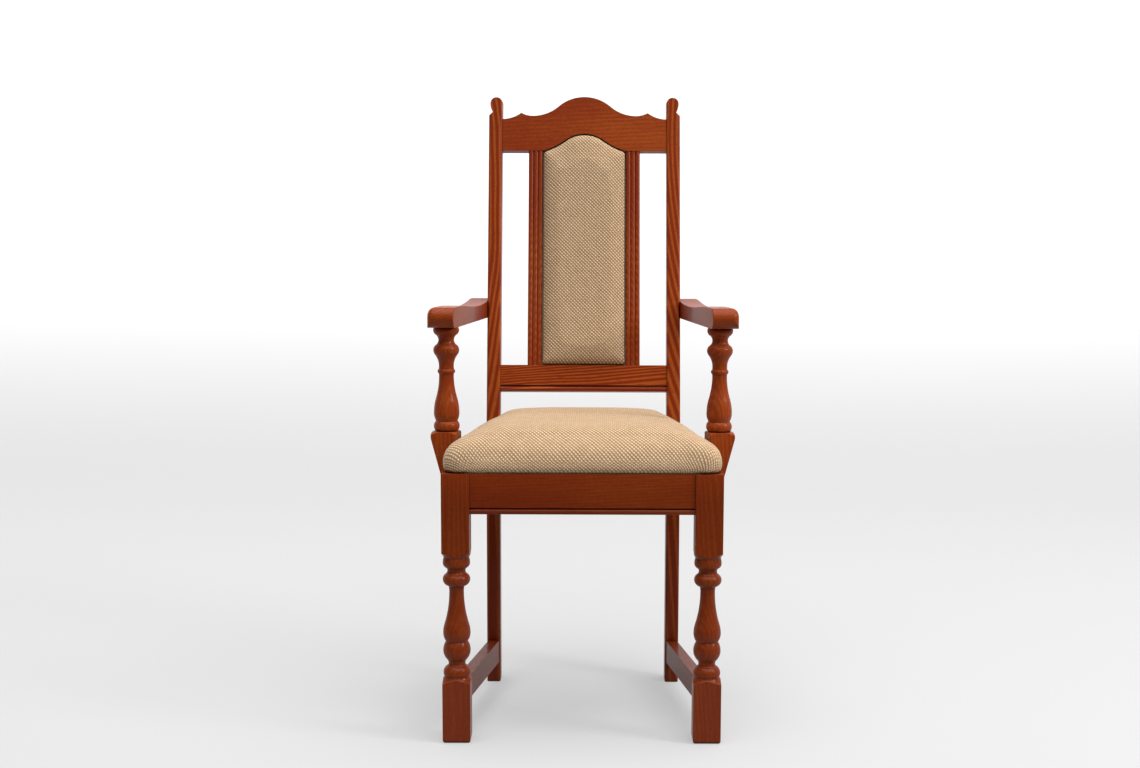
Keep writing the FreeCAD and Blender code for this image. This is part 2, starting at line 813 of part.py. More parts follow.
def side_seat_rail(side, sign):
    body = side_piece("side_seat_rail", side, sign, size("rail_reveal"), rail_across,
                      rail_bottom, size("rail_height"))
    hole = size("screw_dia") + 2 * size("screw_clearance")
    head = size("screw_head_dia") + 2 * size("screw_clearance")
    for name, height in (("low", size("support_screw_low")), ("high", size("support_screw_high"))):
        x, y = screw_line(support_screw_place)
        bore(body, "Subtractive", f"support_hole_{name}_{side}", sign * x, y, height,
             outward(sign), hole, size("rail_thickness") + 2)
        bore(body, "Subtractive", f"support_sink_{name}_{side}", sign * x, y, height,
             outward(sign), head, support_sink)
    for name, place_y in (("front", front_block_screw), ("rear", rear_block_screw)):
        x, y = screw_line(place_y)
        block_pilot(body, f"block_pilot_{name}_{side}", sign * x, y, outward(sign))
    return body


# Corner blocks and their screws

support_sink = keep("support_sink", size("screw_head_height") + size("screw_clearance"))
block_low = keep("block_low", rail_top - size("block_height"))
block_screw_height = keep("block_screw_height", rail_top - size("block_screw_drop"))
block_screw_bite = keep("block_screw_bite", size("screw_length") - size("screw_seat") + 1)
front_block_end = keep("front_block_end", size("leg_square") + size("block_leg"))
rear_block_end = keep("rear_block_end", post_face - size("block_leg"))
front_block_screw = keep("front_block_screw", front_block_end - size("screw_place"))
rear_block_screw = keep("rear_block_screw", rear_block_end + size("screw_place"))
rear_corner = keep("rear_corner", screw_line(post_face)[0])
front_screw_x = keep("front_screw_x", leg_inner - size("block_leg") + size("screw_place"))
rear_screw_x = keep("rear_screw_x", rear_corner - size("block_leg") + size("screw_place"))
front_seat_screw = (leg_inner - 3, size("leg_square") + 14)
rear_seat_screw = (rear_corner - 15, post_face - 17)
support_screw_place = keep("support_screw_place", size("support_place") - size("rail_thickness") * side_sine)


def seat_block(label, side, sign, corners, cross_y, cross_angle, cross_x, side_y, seat_screw):
    """Glue block in a corner of the seat frame, bored for its three screws."""
    body = new_body(f"{label}_{side}")
    plan = outline(body, f"{label}_plan_{side}", "XY", [(sign * x, y) for x, y in corners], None, block_low)
    sketched(body, "Pad", f"{label}_blank_{side}", plan, size("block_height"))
    hole = size("screw_dia") + 2 * size("screw_clearance")
    deep = size("block_leg")
    seat = size("screw_seat")
    inwards = 1 if cross_angle < 0 else -1
    bore(body, "Subtractive", f"{label}_cross_hole_{side}", sign * cross_x, cross_y + inwards * deep,
         block_screw_height, cross_angle, hole, deep)
    bore(body, "Subtractive", f"{label}_cross_sink_{side}", sign * cross_x, cross_y + inwards * (deep + seat),
         block_screw_height, cross_angle, size("counterbore_dia"), deep)
    x, y = screw_line(side_y, deep)
    bore(body, "Subtractive", f"{label}_side_hole_{side}", sign * x, y, block_screw_height,
         outward(sign), hole, deep)
    x, y = screw_line(side_y, deep + seat)
    bore(body, "Subtractive", f"{label}_side_sink_{side}", sign * x, y, block_screw_height,
         outward(sign), size("counterbore_dia"), deep)
    x, y = seat_screw
    plumb_bore(body, "Subtractive", f"{label}_seat_hole_{side}", sign * x, y, block_low, hole,
               size("block_height"))
    plumb_bore(body, "Subtractive", f"{label}_seat_sink_{side}", sign * x, y, block_low,
               size("counterbore_dia"), seat_screw_head - block_low)
    place(body, 0, shift, 0)
    return body


seat_screw_head = keep("seat_screw_head", rail_top - (size("seat_screw_length") - size("seat_screw_bite")))


def front_corner_block(side, sign):
    x, y = screw_line(size("leg_square"))
    end_x, end_y = screw_line(front_block_end)
    corners = [
        (leg_inner - size("block_leg"), rail_inside_face),
        (leg_inner, rail_inside_face),
        (leg_inner, size("leg_square")),
        (x, y),
        (end_x, end_y),
    ]
    return seat_block("front_corner_block", side, sign, corners, rail_inside_face, -90,
                      front_screw_x, front_block_screw, front_seat_screw)


def rear_corner_block(side, sign):
    end_x, end_y = screw_line(rear_block_end)
    corners = [
        (end_x, end_y),
        (rear_corner, post_face),
        (rear_corner - size("block_leg"), post_face),
    ]
    return seat_block("rear_corner_block", side, sign, corners, post_face, 90,
                      rear_screw_x, rear_block_screw, rear_seat_screw)


# Back: crest rail, lower rail, slats

def raked_place(body):
    place(body, 0, post_face + shift, size("bend_height"), Vector(1, 0, 0), -rake)


def arch_points(inset):
    """Right half of the arch under the crest, drawn in by inset: foot, shoulder and middle."""
    base = size("crest_underside") - inset
    return ((size("arch_half_width") - inset, base),
            (size("arch_shoulder_place") - inset * 0.6, base + size("arch_shoulder_rise") + inset * 0.2),
            (0, base + size("arch_rise")))


def crest_rail():
    body = new_body("crest_rail")
    low = size("crest_underside")
    dip, cusp = size("crest_dip_place"), size("crest_cusp_place")
    dip_z, peak_z = low + size("crest_dip_height"), low + size("crest_middle_height")
    foot, shoulder, middle = arch_points(term(0))
    right = [
        foot,
        (post_inner, low),
        (post_inner, low + size("crest_end_height")),
        (cusp, low + size("crest_cusp_height")),
        (dip, dip_z),
        (dip / 2, (dip_z + peak_z) / 2),
        (0, peak_z),
    ]
    left = [(-x, y) for x, y in reversed(right[:-1])]
    corners = right + left + [(-shoulder[0], shoulder[1]), middle, shoulder]
    arcs = {
        2: ("plumb start",), 3: ("plumb end",), 4: ("plumb start",), 5: ("plumb end",),
        6: ("plumb start",), 7: ("plumb end",), 8: ("plumb start",), 9: ("plumb end",),
        12: ("radius", size("arch_foot_radius"), -1), 13: ("plumb end",),
        14: ("plumb start",), 15: ("radius", size("arch_foot_radius"), -1),
    }
    back = size("crest_setback") + size("crest_thickness")
    face = outline(body, "crest_outline", "XZ", corners, arcs, -back)
    sketched(body, "Pad", "crest_blank", face, size("crest_thickness"))
    reach = size("post_tenon_length")
    inset = size("crest_setback") + (size("crest_thickness") - size("tenon_thickness")) / 2
    for side, low_x in (("left", -(post_inner + reach)), ("right", post_inner - size("tenon_root"))):
        block(body, "Additive", f"crest_tenon_{side}", (low_x, inset, low + size("tenon_shoulder")),
              (reach + size("tenon_root"), size("tenon_thickness"),
               size("crest_end_height") - 2 * size("tenon_shoulder")))
    slat_mortises(body, "crest", low, size("slat_tenon") + size("mortise_spare"))
    raked_place(body)
    return body


def slat_mortises(body, label, low, height):
    """Sockets for the stub tenons of both slats."""
    wide = size("slat_tenon_thickness")
    for side, sign in SIDES:
        x = sign * slat_axis - slat_tenon_width / 2
        block(body, "Subtractive", f"{label}_slat_mortise_{side}", (x, slat_tenon_face, low),
              (slat_tenon_width, wide, height))


slat_width = keep("slat_width", 3 * size("slat_reed"))
slat_inner = keep("slat_inner", size("slat_spacing") / 2)
slat_axis = keep("slat_axis", slat_inner + slat_width / 2)
slat_tenon_width = keep("slat_tenon_width", slat_width - size("tenon_shoulder"))
slat_face = keep("slat_face", size("crest_setback") + size("slat_reveal"))
slat_low = keep("slat_low", size("lower_rail_underside") + size("lower_rail_height"))
slat_high = size("crest_underside")
slat_back = keep("slat_back", slat_face + size("slat_thickness"))
board_face = keep("board_face", slat_back - size("panel_board_thickness"))
slat_tenon_face = keep("slat_tenon_face", board_face - size("slat_tenon_thickness"))


def lower_back_rail():
    body = new_body("lower_back_rail")
    front = size("crest_setback")
    low = size("lower_rail_underside")
    corners, arcs = cross_rail_profile(front, front + size("lower_rail_thickness"), low, slat_low)
    profile = outline(body, "lower_rail_profile", "YZ", corners, arcs, -post_inner)
    sketched(body, "Pad", "lower_rail_blank", profile, 2 * post_inner)
    reach = size("post_tenon_length")
    inset = front + (size("lower_rail_thickness") - size("tenon_thickness")) / 2
    for side, low_x in (("left", -(post_inner + reach)), ("right", post_inner - size("tenon_root"))):
        block(body, "Additive", f"lower_rail_tenon_{side}", (low_x, inset, low + size("tenon_shoulder")),
              (reach + size("tenon_root"), size("tenon_thickness"),
               size("lower_rail_height") - 2 * size("tenon_shoulder")))
    deep = size("slat_tenon") + size("mortise_spare")
    slat_mortises(body, "lower", slat_low - deep, deep)
    raked_place(body)
    return body


def back_slat(side, sign):
    """Reeded slat with a rebate at the back for the upholstered panel's board."""
    body = new_body(f"back_slat_{side}")
    reed, sunk = size("slat_reed"), slat_face + size("slat_reed_depth")
    inner = sign * slat_inner
    corners = [
        (inner, sunk),
        (inner + sign * reed, sunk),
        (inner + sign * 2 * reed, sunk),
        (inner + sign * 3 * reed, sunk),
        (inner + sign * slat_width, slat_back),
        (inner + sign * size("panel_rebate"), slat_back),
        (inner + sign * size("panel_rebate"), board_face),
        (inner, board_face),
    ]
    bulge = round_over(reed, size("slat_reed_depth"))
    arcs = {i: ("radius", bulge, -sign) for i in range(3)}
    section = outline(body, f"slat_section_{side}", "XY", corners, arcs, slat_low)
    sketched(body, "Pad", f"slat_blank_{side}", section, slat_high - slat_low)
    x = sign * slat_axis - slat_tenon_width / 2
    block(body, "Additive", f"slat_tenons_{side}", (x, slat_tenon_face, slat_low - size("slat_tenon")),
          (slat_tenon_width, size("slat_tenon_thickness"), slat_high - slat_low + 2 * size("slat_tenon")))
    for number, z in enumerate(panel_screw_heights(), start=1):
        along_hole(body, "Subtractive", f"panel_pilot_{number}_{side}", sign * panel_screw_x,
                   board_face - panel_pilot_depth, z, size("screw_dia") + size("round_clearance"),
                   panel_pilot_depth + 2)
    raked_place(body)
    return body


def along_hole(body, kind, name, x, y, z, diameter, length):
    """Round hole running backwards, square to the raked back."""
    return bore(body, kind, name, x, y, z, 90, diameter, length)


panel_screw_x = keep("panel_screw_x", slat_inner + size("panel_rebate") / 2)
panel_pilot_depth = keep("panel_pilot_depth", size("panel_screw_length") + size("screw_head_height")
                         - size("panel_board_thickness") + size("mortise_spare"))


def panel_screw_heights():
    return slat_low + size("panel_screw_margin"), slat_high - size("panel_screw_margin")


def back_panel_board():
    body = new_body("back_panel_board")
    gap = size("panel_gap")
    wide = slat_inner + size("panel_rebate") - gap / 2
    foot, shoulder, middle = arch_points(gap)
    corners = [(-wide, slat_low + gap), (wide, slat_low + gap), (wide, foot[1]), foot, shoulder, middle,
               (-shoulder[0], shoulder[1]), (-foot[0], foot[1]), (-wide, foot[1])]
    foot_arc = ("radius", size("arch_foot_radius") + gap, 1)
    arcs = {3: foot_arc, 4: ("plumb end",), 5: ("plumb start",), 6: foot_arc}
    face = outline(body, "panel_board_outline", "XZ", corners, arcs, -slat_back)
    sketched(body, "Pad", "panel_board_blank", face, size("panel_board_thickness"))
    hole = size("screw_dia") + 2 * size("screw_clearance")
    head = size("screw_head_dia") + 2 * size("screw_clearance")
    for side, sign in SIDES:
        for number, z in enumerate(panel_screw_heights(), start=1):
            along_hole(body, "Subtractive", f"board_hole_{number}_{side}", sign * panel_screw_x,
                       board_face - 1, z, hole, size("panel_board_thickness") + 2)
            along_hole(body, "Subtractive", f"board_sink_{number}_{side}", sign * panel_screw_x,
                       slat_back - size("screw_head_height"), z, head, size("screw_head_height") + 1)
    raked_place(body)
    return body


def back_panel_cloth():
    """Plain cloth over the back of the panel's board."""
    body = new_body("back_panel_rear_cloth")
    gap = size("panel_gap") + size("cloth_clearance")
    corners, arcs = panel_outline(gap)
    face = outline(body, "panel_cloth_outline", "XZ", corners, arcs,
                   -(slat_back + size("panel_cloth_thickness")))
    sketched(body, "Pad", "panel_cloth_sheet", face, size("panel_cloth_thickness"))
    raked_place(body)
    return body


def panel_outline(inset):
    """Corners and arcs of the space between the slats, the rails and the arch, drawn in by inset."""
    wide, low = slat_inner - inset, slat_low + inset
    foot, shoulder, middle = arch_points(inset)
    corners = [(-wide, low), (wide, low), (wide, foot[1]), shoulder, middle,
               (-shoulder[0], shoulder[1]), (-wide, foot[1])]
    foot_arc = ("radius", size("arch_foot_radius") + inset, 1)
    return corners, {2: foot_arc, 3: ("plumb end",), 4: ("plumb start",), 5: foot_arc}


def panel_sections(extra):
    """Depths and insets of the back pad's crowned outline, from the board forwards."""
    round_off, tuck = size("panel_side_round"), size("panel_tuck")
    start = board_face - size("cloth_clearance")
    front = slat_face - size("panel_crown") + extra
    edge = slat_face + 1
    return [
        (start, extra + tuck),
        (edge, extra + tuck * 0.7),
        (edge - (edge - front) * 0.45, extra + round_off * 0.3),
        (edge - (edge - front) * 0.78, extra + round_off),
        (edge - (edge - front) * 0.95, extra + round_off * 2.2),
        (front, extra + round_off * 4),
    ]


def loft(body, kind, name, sketches):
    feature = body.newObject(f"PartDesign::{kind}Loft", name)
    feature.Profile = sketches[0]
    feature.Sections = sketches[1:]
    body.Tip = feature
    return feature


def panel_loft(body, kind, name, extra):
    sketches = []
    for number, (depth, inset) in enumerate(panel_sections(extra), start=1):
        corners, arcs = panel_outline(inset + size("cloth_clearance"))
        sketches.append(outline(body, f"{name}_{number}", "XZ", corners, arcs, -depth))
    return loft(body, kind, name, sketches)


def back_panel_cover():
    body = new_body("back_panel_cover")
    panel_loft(body, "Additive", "panel_cover_shape", term(0))
    panel_loft(body, "Subtractive", "panel_cover_hollow", size("cover_thickness"))
    raked_place(body)
    return body


def back_panel_foam():
    body = new_body("back_panel_foam")
    panel_loft(body, "Additive", "panel_foam_shape", size("cover_thickness") + size("cloth_clearance"))
    raked_place(body)
    return body


# Arms and their supports

arm_run = keep("arm_run", raked(0, (size("arm_height") - size("bend_height")) / rake_cosine)[0]
               - size("arm_nose_front"))
arm_slope = keep("arm_slope", (size("arm_inner_front") - post_axis - half_post) / arm_run)
arm_stretch = keep("arm_stretch", root(1 + arm_slope * arm_slope))
arm_sine = keep("arm_sine", arm_slope / arm_stretch)
arm_cosine = keep("arm_cosine", 1 / arm_stretch)
arm_angle = keep("arm_angle", slope_angle(arm_slope))
support_x = keep("support_x", side_line(size("rail_reveal"), size("support_place"))
                 + size("support_offset") * side_cosine)
support_y = keep("support_y", size("support_place") + size("support_offset") * side_sine)


def in_arm(x, y):
    """A chair point's distances outwards and backwards from the arm's inner front corner."""
    right, back = x - size("arm_inner_front"), y - size("arm_nose_front")
    return right * arm_cosine + back * arm_sine, back * arm_cosine - right * arm_sine


def arm(side, sign):
    body = new_body(f"arm_{side}")
    nose, tip = size("arm_nose_thickness"), size("arm_nose_thickness") / 2
    dip, flat = size("arm_dip_place"), size("arm_flat_length")
    corners = [
        (0, 0),
        (size("arm_length"), 0),
        (size("arm_length"), size("arm_back_thickness")),
        (dip, size("arm_dip_thickness")),
        ((dip + flat) / 2, (size("arm_dip_thickness") + nose) / 2),
        (flat, nose),
        (tip, nose),
        (0, tip),
    ]
    arcs = {2: ("plumb end",), 3: ("plumb start",), 4: ("plumb end",), 6: ("plumb start",)}
    profile = outline(body, f"arm_profile_{side}", "YZ", corners, arcs, sign * size("arm_width"))
    sketched(body, "Pad", f"arm_blank_{side}", profile, size("arm_width"), sign > 0)
    wide = size("arm_width").value
    round_edges(body, f"arm_outer_edge_{side}", size("arm_outer_round"),
                lambda e: near(e.CenterOfMass.x, sign * wide) and upper_edge(e, tip.value))
    round_edges(body, f"arm_inner_edge_{side}", size("arris"),
                lambda e: near(e.CenterOfMass.x, 0) and upper_edge(e, tip.value))
    under = outline(body, f"arm_nose_outline_{side}", "YZ", [
        (-2, tip),
        (0, tip),
        (tip * 0.88, 0),
        (tip * 0.88, -2),
        (-2, -2),
    ], {1: ("level start",)}, sign * (size("arm_width") + 2))
    sketched(body, "Pocket", f"arm_nose_{side}", under, size("arm_width") + 4, sign < 0)
    reach = size("arm_length") - arm_run * arm_stretch + 6
    lap = outline(body, f"arm_lap_plan_{side}", "XY", [
        (0, arm_run * arm_stretch),
        (sign * reach * arm_slope, arm_run * arm_stretch + reach),
        (-sign * 3, arm_run * arm_stretch + reach),
        (-sign * 3, arm_run * arm_stretch),
    ], None, -1)
    sketched(body, "Pocket", f"arm_lap_{side}", lap, nose + 4, True)
    x, y = in_arm(support_x, support_y)
    plumb_bore(body, "Subtractive", f"arm_socket_{side}", sign * x, y, 0,
               size("support_tenon_dia") + size("round_clearance"),
               size("support_tenon_length") + size("mortise_spare"))
    dowel_y, dowel_z = arm_dowel_points()
    for number, (y, z) in enumerate(zip(dowel_y, dowel_z), start=1):
        start_x, start_y = in_arm(post_axis + half_post, y)
        bore(body, "Subtractive", f"arm_dowel_hole_{number}_{side}", sign * start_x, start_y,
             z - size("arm_height"), -arm_angle if sign > 0 else 180 + arm_angle,
             size("arm_dowel_dia") + size("round_clearance"),
             size("arm_dowel_reach") / 2 + size("mortise_spare"))
    place(body, sign * size("arm_inner_front"), size("arm_nose_front") + shift, size("arm_height"),
          Vector(0, 0, 1), sign * arm_angle)
    return body


def upper_edge(edge, level):
    """True for an edge on one side of the arm that runs along its top or nose."""
    box = edge.BoundBox
    front = near(box.YMax, 0)
    return near(box.XMin, box.XMax) and (front or box.YLength > 5 and box.ZMax > level + 1)


def support_stations():
    base = size("support_block_top")
    ring = base + size("support_ring_below")
    groove = ring + size("support_ring_above")
    belly = groove + size("support_belly_below")
    top = size("arm_height")
    cap = top - size("support_cap_above")
    throat = cap - size("support_cap_below")
    knop = throat - size("support_knop_above")
    stem = knop - size("support_knop_below")
    collar_top = stem - size("support_stem_below")
    collar = collar_top - size("support_collar_half")
    collar_low = collar - size("support_collar_half")
    neck = collar_low - size("support_collar_below")
    return [
        (base, size("support_root_dia") / 2, "crease"),
        (ring, size("support_ring_dia") / 2, "smooth"),
        (groove, size("support_groove_dia") / 2, "crease"),
        (belly, size("support_belly_dia") / 2, "smooth", 0.4),
        (neck, size("support_neck_dia") / 2, "smooth"),
        (collar_low, size("support_neck_dia") / 2 + size("support_collar_step"), "crease"),
        (collar, size("support_collar_dia") / 2, "smooth"),
        (collar_top, size("support_stem_dia") / 2 + size("support_collar_step"), "crease"),
        (stem, size("support_stem_dia") / 2, "smooth", 0.7),
        (knop, size("support_knop_dia") / 2, "smooth"),
        (throat, size("support_throat_dia") / 2, "smooth"),
        (cap, size("support_cap_dia") / 2, "smooth"),
        (top, size("support_top_dia") / 2, "crease"),
    ]


def arm_support(side, sign):
    """Turned support with a tapered foot lapped and screwed on the side rail."""
    body = new_body(f"arm_support_{side}")
    half = size("support_square") / 2
    lap = size("support_offset")
    low, top = rail_bottom + 2, size("support_block_top") + 1
    block(body, "Additive", f"support_blank_{side}", (-lap if sign > 0 else -half, -half, low),
          (lap + half, size("support_square"), top - low))
    round_edges(body, f"support_arris_{side}", size("arris"), upright)
    corner = half * math.sqrt(2) + size("turning_spare")
    reach = half * math.sqrt(2) + 6
    shoulder = size("support_block_top") - size("support_shoulder")
    root_radius = size("support_root_dia") / 2
    cut = outline(body, f"support_shoulder_outline_{side}", "XZ", [
        (corner, shoulder),
        (root_radius, size("support_block_top")),
        (root_radius, top + 1),
        (reach, top + 1),
        (reach, shoulder),
    ], {0: ("radius", 16, -1)})
    sketched(body, "Groove", f"support_shoulder_{side}", cut)
    foot = -lap + size("support_foot_width")
    taper = outline(body, f"support_taper_outline_{side}", "XZ", [
        (sign * foot, low - 1),
        (sign * (half + 0.01), size("support_taper_top")),
        (sign * (half + 8), size("support_taper_top")),
        (sign * (half + 8), low - 1),
    ], None, -(half + 1))
    sketched(body, "Pocket", f"support_taper_{side}", taper, size("support_square") + 2, True)
    corners, arcs = turned(support_stations(), 0)
    turning = outline(body, f"support_turning_{side}", "XZ", corners, arcs)
    sketched(body, "Revolution", f"support_turned_{side}", turning)
    plumb_bore(body, "Additive", f"support_tenon_{side}", 0, 0, size("arm_height") - 2,
               size("support_tenon_dia"), size("support_tenon_length") + 2)
    for name, height in (("low", size("support_screw_low")), ("high", size("support_screw_high"))):
        bore(body, "Subtractive", f"support_pilot_{name}_{side}", -sign * lap, 0, height,
             0 if sign > 0 else 180, size("screw_dia") + size("round_clearance"), support_screw_bite)
    place(body, sign * support_x, support_y + shift, 0, Vector(0, 0, 1), sign * side_angle)
    return body


support_screw_bite = keep("support_screw_bite", size("screw_length") + support_sink
                          - size("rail_thickness") + size("mortise_spare"))

# Seat: board, foam, cover and dust cover


def notch_posts(body, name, low, height, spare):
    """Cuts a panel's back corners clear of the posts."""
    reach = size("post_width") * 3
    inner = post_inner - spare
    for side, low_x in (("left", -(inner + reach)), ("right", inner)):
        block(body, "Subtractive", f"{name}_{side}", (low_x, post_face - spare, low), (reach, reach, height))


def seat_plan(inset, front, back):
    """Corners of the seat's plan without its rounding."""
    front_x = side_line(size("rail_reveal") + inset * side_stretch, front)
    back_x = side_line(size("rail_reveal") + inset * side_stretch, back)
    return [(-front_x, front), (front_x, front), (back_x, back), (-back_x, back)]


def seat_board():
    body = new_body("seat_board")
    corners, arcs = rounded_plan(size("seat_board_inset"), size("seat_corner"))
    plan = outline(body, "seat_board_plan", "XY", corners, arcs, rail_top)
    sketched(body, "Pad", "seat_board_blank", plan, size("seat_board_thickness"))
    notch_posts(body, "seat_board_notch", rail_top - 1, size("seat_board_thickness") + 2,
                size("post_clearance"))
    for label, (x, y) in (("front", front_seat_screw), ("rear", rear_seat_screw)):
        for side, sign in SIDES:
            plumb_bore(body, "Subtractive", f"seat_pilot_{label}_{side}", sign * x, y, rail_top,
                       size("screw_dia") + size("round_clearance"), size("seat_screw_bite") + 1)
    place(body, 0, shift, 0)
    return body


def rounded_plan(inset, corner):
    """Seat outline with rounded corners, set in from the frame's outline by inset."""
    (_, front), (front_x, _), (back_x, back), _ = seat_plan(
        inset - size("seat_overhang"), inset - size("seat_front_overhang"), size("seat_back_place") - inset)
    right = [
        (front_x - corner, front),
        (front_x - corner * side_sine, front + corner * side_cosine),
        (back_x + corner * side_sine, back - corner * side_cosine),
        (back_x - corner, back),
    ]
    corners = right + [(-x, y) for x, y in reversed(right)]
    front_radius = corner / (side_stretch + side_slope)
    back_radius = corner / (side_stretch - side_slope)
    arcs = {0: ("radius", front_radius, 1), 2: ("radius", back_radius, 1),
            4: ("radius", back_radius, 1), 6: ("radius", front_radius, 1)}
    return corners, arcs


def crown_levels():
    """Heights and insets of the seat's outline, from the frame up to the crown."""
    bulge, belly = size("seat_bulge"), size("seat_bulge_height")
    crown, deep = size("seat_crown_height"), size("seat_crown_inset")
    rise = crown - belly
    return [
        (term(0), term(0), 0),
        (belly * 0.45, -bulge * 0.8, 0),
        (belly, -bulge, 0),
        (belly + rise * 0.24, -bulge * 0.1, 0.03),
        (belly + rise * 0.48, deep * 0.08, 0.12),
        (belly + rise * 0.69, deep * 0.2, 0.3),
        (belly + rise * 0.86, deep * 0.4, 0.5),
        (belly + rise * 0.96, deep * 0.68, 0.75),
        (crown, deep, 1),
    ]


def seat_loft(body, kind, name, extra, floor):
    """Crowned seat shape, every section set in by extra, on a flat floor level."""
    sketches = []
    small, large = size("seat_corner"), size("seat_top_corner")
    top = size("seat_crown_height")
    for number, (level, inset, share) in enumerate(crown_levels(), start=1):
        corners, arcs = rounded_plan(inset + extra, small + (large - small) * share)
        squash = (top - extra - floor) / top
        sketches.append(outline(body, f"{name}_{number}", "XY", corners, arcs,
                                rail_top + floor + level * squash))
    return loft(body, kind, name, sketches)


def notch_supports(body, name, spare):
    """Cuts the seat's sides clear of the arm supports."""
    half = size("support_notch_half") + spare
    reach = size("support_square")
    for side, sign in SIDES:
        front, back = support_y - half, support_y + half
        inset = size("rail_reveal") + size("support_notch_clearance") + spare
        corners = [
            (sign * side_line(inset, front), front),
            (sign * side_line(inset, back), back),
            (sign * (side_line(inset, back) + reach), back),
            (sign * (side_line(inset, front) + reach), front),
        ]
        plan = outline(body, f"{name}_plan_{side}", "XY", corners, None, rail_top - 1)
        sketched(body, "Pocket", f"{name}_{side}", plan, size("seat_crown_height") + 4, True)


def seat_cover():
    body = new_body("seat_cover")
    clear = size("cloth_clearance")
    seat_loft(body, "Additive", "seat_cover_shape", term(0), clear)
    seat_loft(body, "Subtractive", "seat_cover_hollow", size("cover_thickness"), clear)
    notch_supports(body, "seat_cover_support_notch", term(0))
    notch_posts(body, "seat_cover_post_notch", rail_top - 1, size("seat_crown_height") + 4,
                size("post_clearance"))
    place(body, 0, shift, 0)
    return body


def seat_foam():
    body = new_body("seat_foam")
    clear = size("cloth_clearance")
    seat_loft(body, "Additive", "seat_foam_shape", size("cover_thickness") + clear, clear)
    notch_supports(body, "seat_foam_support_notch", clear)
    notch_posts(body, "seat_foam_post_notch", rail_top - 1, size("seat_crown_height") + 4,
                size("post_clearance") + clear)
    corners, arcs = rounded_plan(size("seat_board_inset") - clear, size("seat_corner"))
    plan = outline(body, "seat_foam_board_plan", "XY", corners, arcs, rail_top - 1)
    sketched(body, "Pocket", "seat_foam_board_room", plan, size("seat_board_thickness") + 1 + clear, True)
    place(body, 0, shift, 0)
    return body


def seat_dust_cover():
    body = new_body("seat_dust_cover")
    margin = size("dust_cover_margin")
    front_x, front_y = screw_line(front_block_end)
    rear_x, rear_y = screw_line(rear_block_end)
    right = [
        (leg_inner - size("block_leg") - margin, rail_inside_face + margin),
        (front_x - margin, front_y + margin),
        (rear_x - margin, rear_y - margin),
        (rear_corner - size("block_leg") - margin, post_face - margin),
    ]
    plan = outline(body, "dust_cover_plan", "XY", right + [(-x, y) for x, y in reversed(right)], None,
                   rail_top - size("dust_cover_thickness"))
    sketched(body, "Pad", "dust_cover_sheet", plan, size("dust_cover_thickness"))
    place(body, 0, shift, 0)
    return body


# Screws and dowels, each kind one master and a group of placed copies

def screw_master(label, length, plane="XY"):
    """Flat-headed wood screw along its Y, or along Z, whose head bears at zero."""
    body = new_body(label)
    head, shank = size("screw_head_dia") / 2, size("screw_dia") / 2
    high = size("screw_head_height")
    half = [(0, -high), (head, -high), (head, 0), (shank, 0),
            (shank, length - size("screw_tip")), (0, length)]
    section = outline(body, f"{label}_section", plane, half)
    sketched(body, "Revolution", f"{label}_turned", section)
    return body


def dowel_master(label):
    body = new_body(label)
    plumb_bore(body, "Additive", f"{label}_round", 0, 0, -size("arm_dowel_reach") / 2,
               size("arm_dowel_dia"), size("arm_dowel_reach"))
    return body


def group(label, master, spots):
    """Compound of copies of the master, each at x, y, z and turned about an axis."""
    copies = []
    for number, (x, y, z, axis, angle) in enumerate(spots, start=1):
        copy = doc.addObject("App::Link", f"{label}_{number}")
        copy.LinkedObject = master
        place(copy, x, y, z, axis, angle)
        copies.append(copy)
    compound = doc.addObject("Part::Compound", label)
    compound.Label = label
    compound.Links = copies
    return compound


def screw_groups():
    """Screws lie along their own Y, so a plan direction is a turn about Z less a quarter."""
    level = screw_master("wood_screw", size("screw_length"))
    long_screw = screw_master("seat_screw", size("seat_screw_length"), "XZ")
    short_screw = screw_master("panel_screw", size("panel_screw_length"))
    dowel = dowel_master("dowel")
    plumb = Vector(0, 0, 1)
    across = Vector(1, 0, 0)
    seat = size("screw_seat")
    blocks, supports, dowels, seats, panels = [], [], [], [], []
    for side, sign in SIDES:
        quarter = outward(sign) - 90
        blocks.append((sign * front_screw_x, rail_inside_face + seat + shift, block_screw_height, plumb, 180))
        blocks.append((sign * rear_screw_x, post_face - seat + shift, block_screw_height, plumb, 0))
        for place_y in (front_block_screw, rear_block_screw):
            x, y = screw_line(place_y, seat)
            blocks.append((sign * x, y + shift, block_screw_height, plumb, quarter))
        x, y = screw_line(support_screw_place, -support_sink)
        for height in (size("support_screw_low"), size("support_screw_high")):
            supports.append((sign * x, y + shift, height, plumb, quarter))
        dowel_y, dowel_z = arm_dowel_points()
        for y, z in zip(dowel_y, dowel_z):
            dowels.append((sign * (post_axis + half_post), y + shift, z, Vector(0, 1, 0), 90))
        for x, y in (front_seat_screw, rear_seat_screw):
            seats.append((sign * x, y + shift, seat_screw_head, plumb, 0))
        for height in panel_screw_heights():
            y, z = raked(slat_back - size("screw_head_height"), height)
            panels.append((sign * panel_screw_x, y + shift, z, across, 180 - rake))
    return [
        group("corner_block_screws", level, blocks),
        group("arm_support_screws", level, supports),
        group("arm_dowels", dowel, dowels),
        group("seat_fixing_screws", long_screw, seats),
        group("back_panel_screws", short_screw, panels),
    ]


# The whole chair

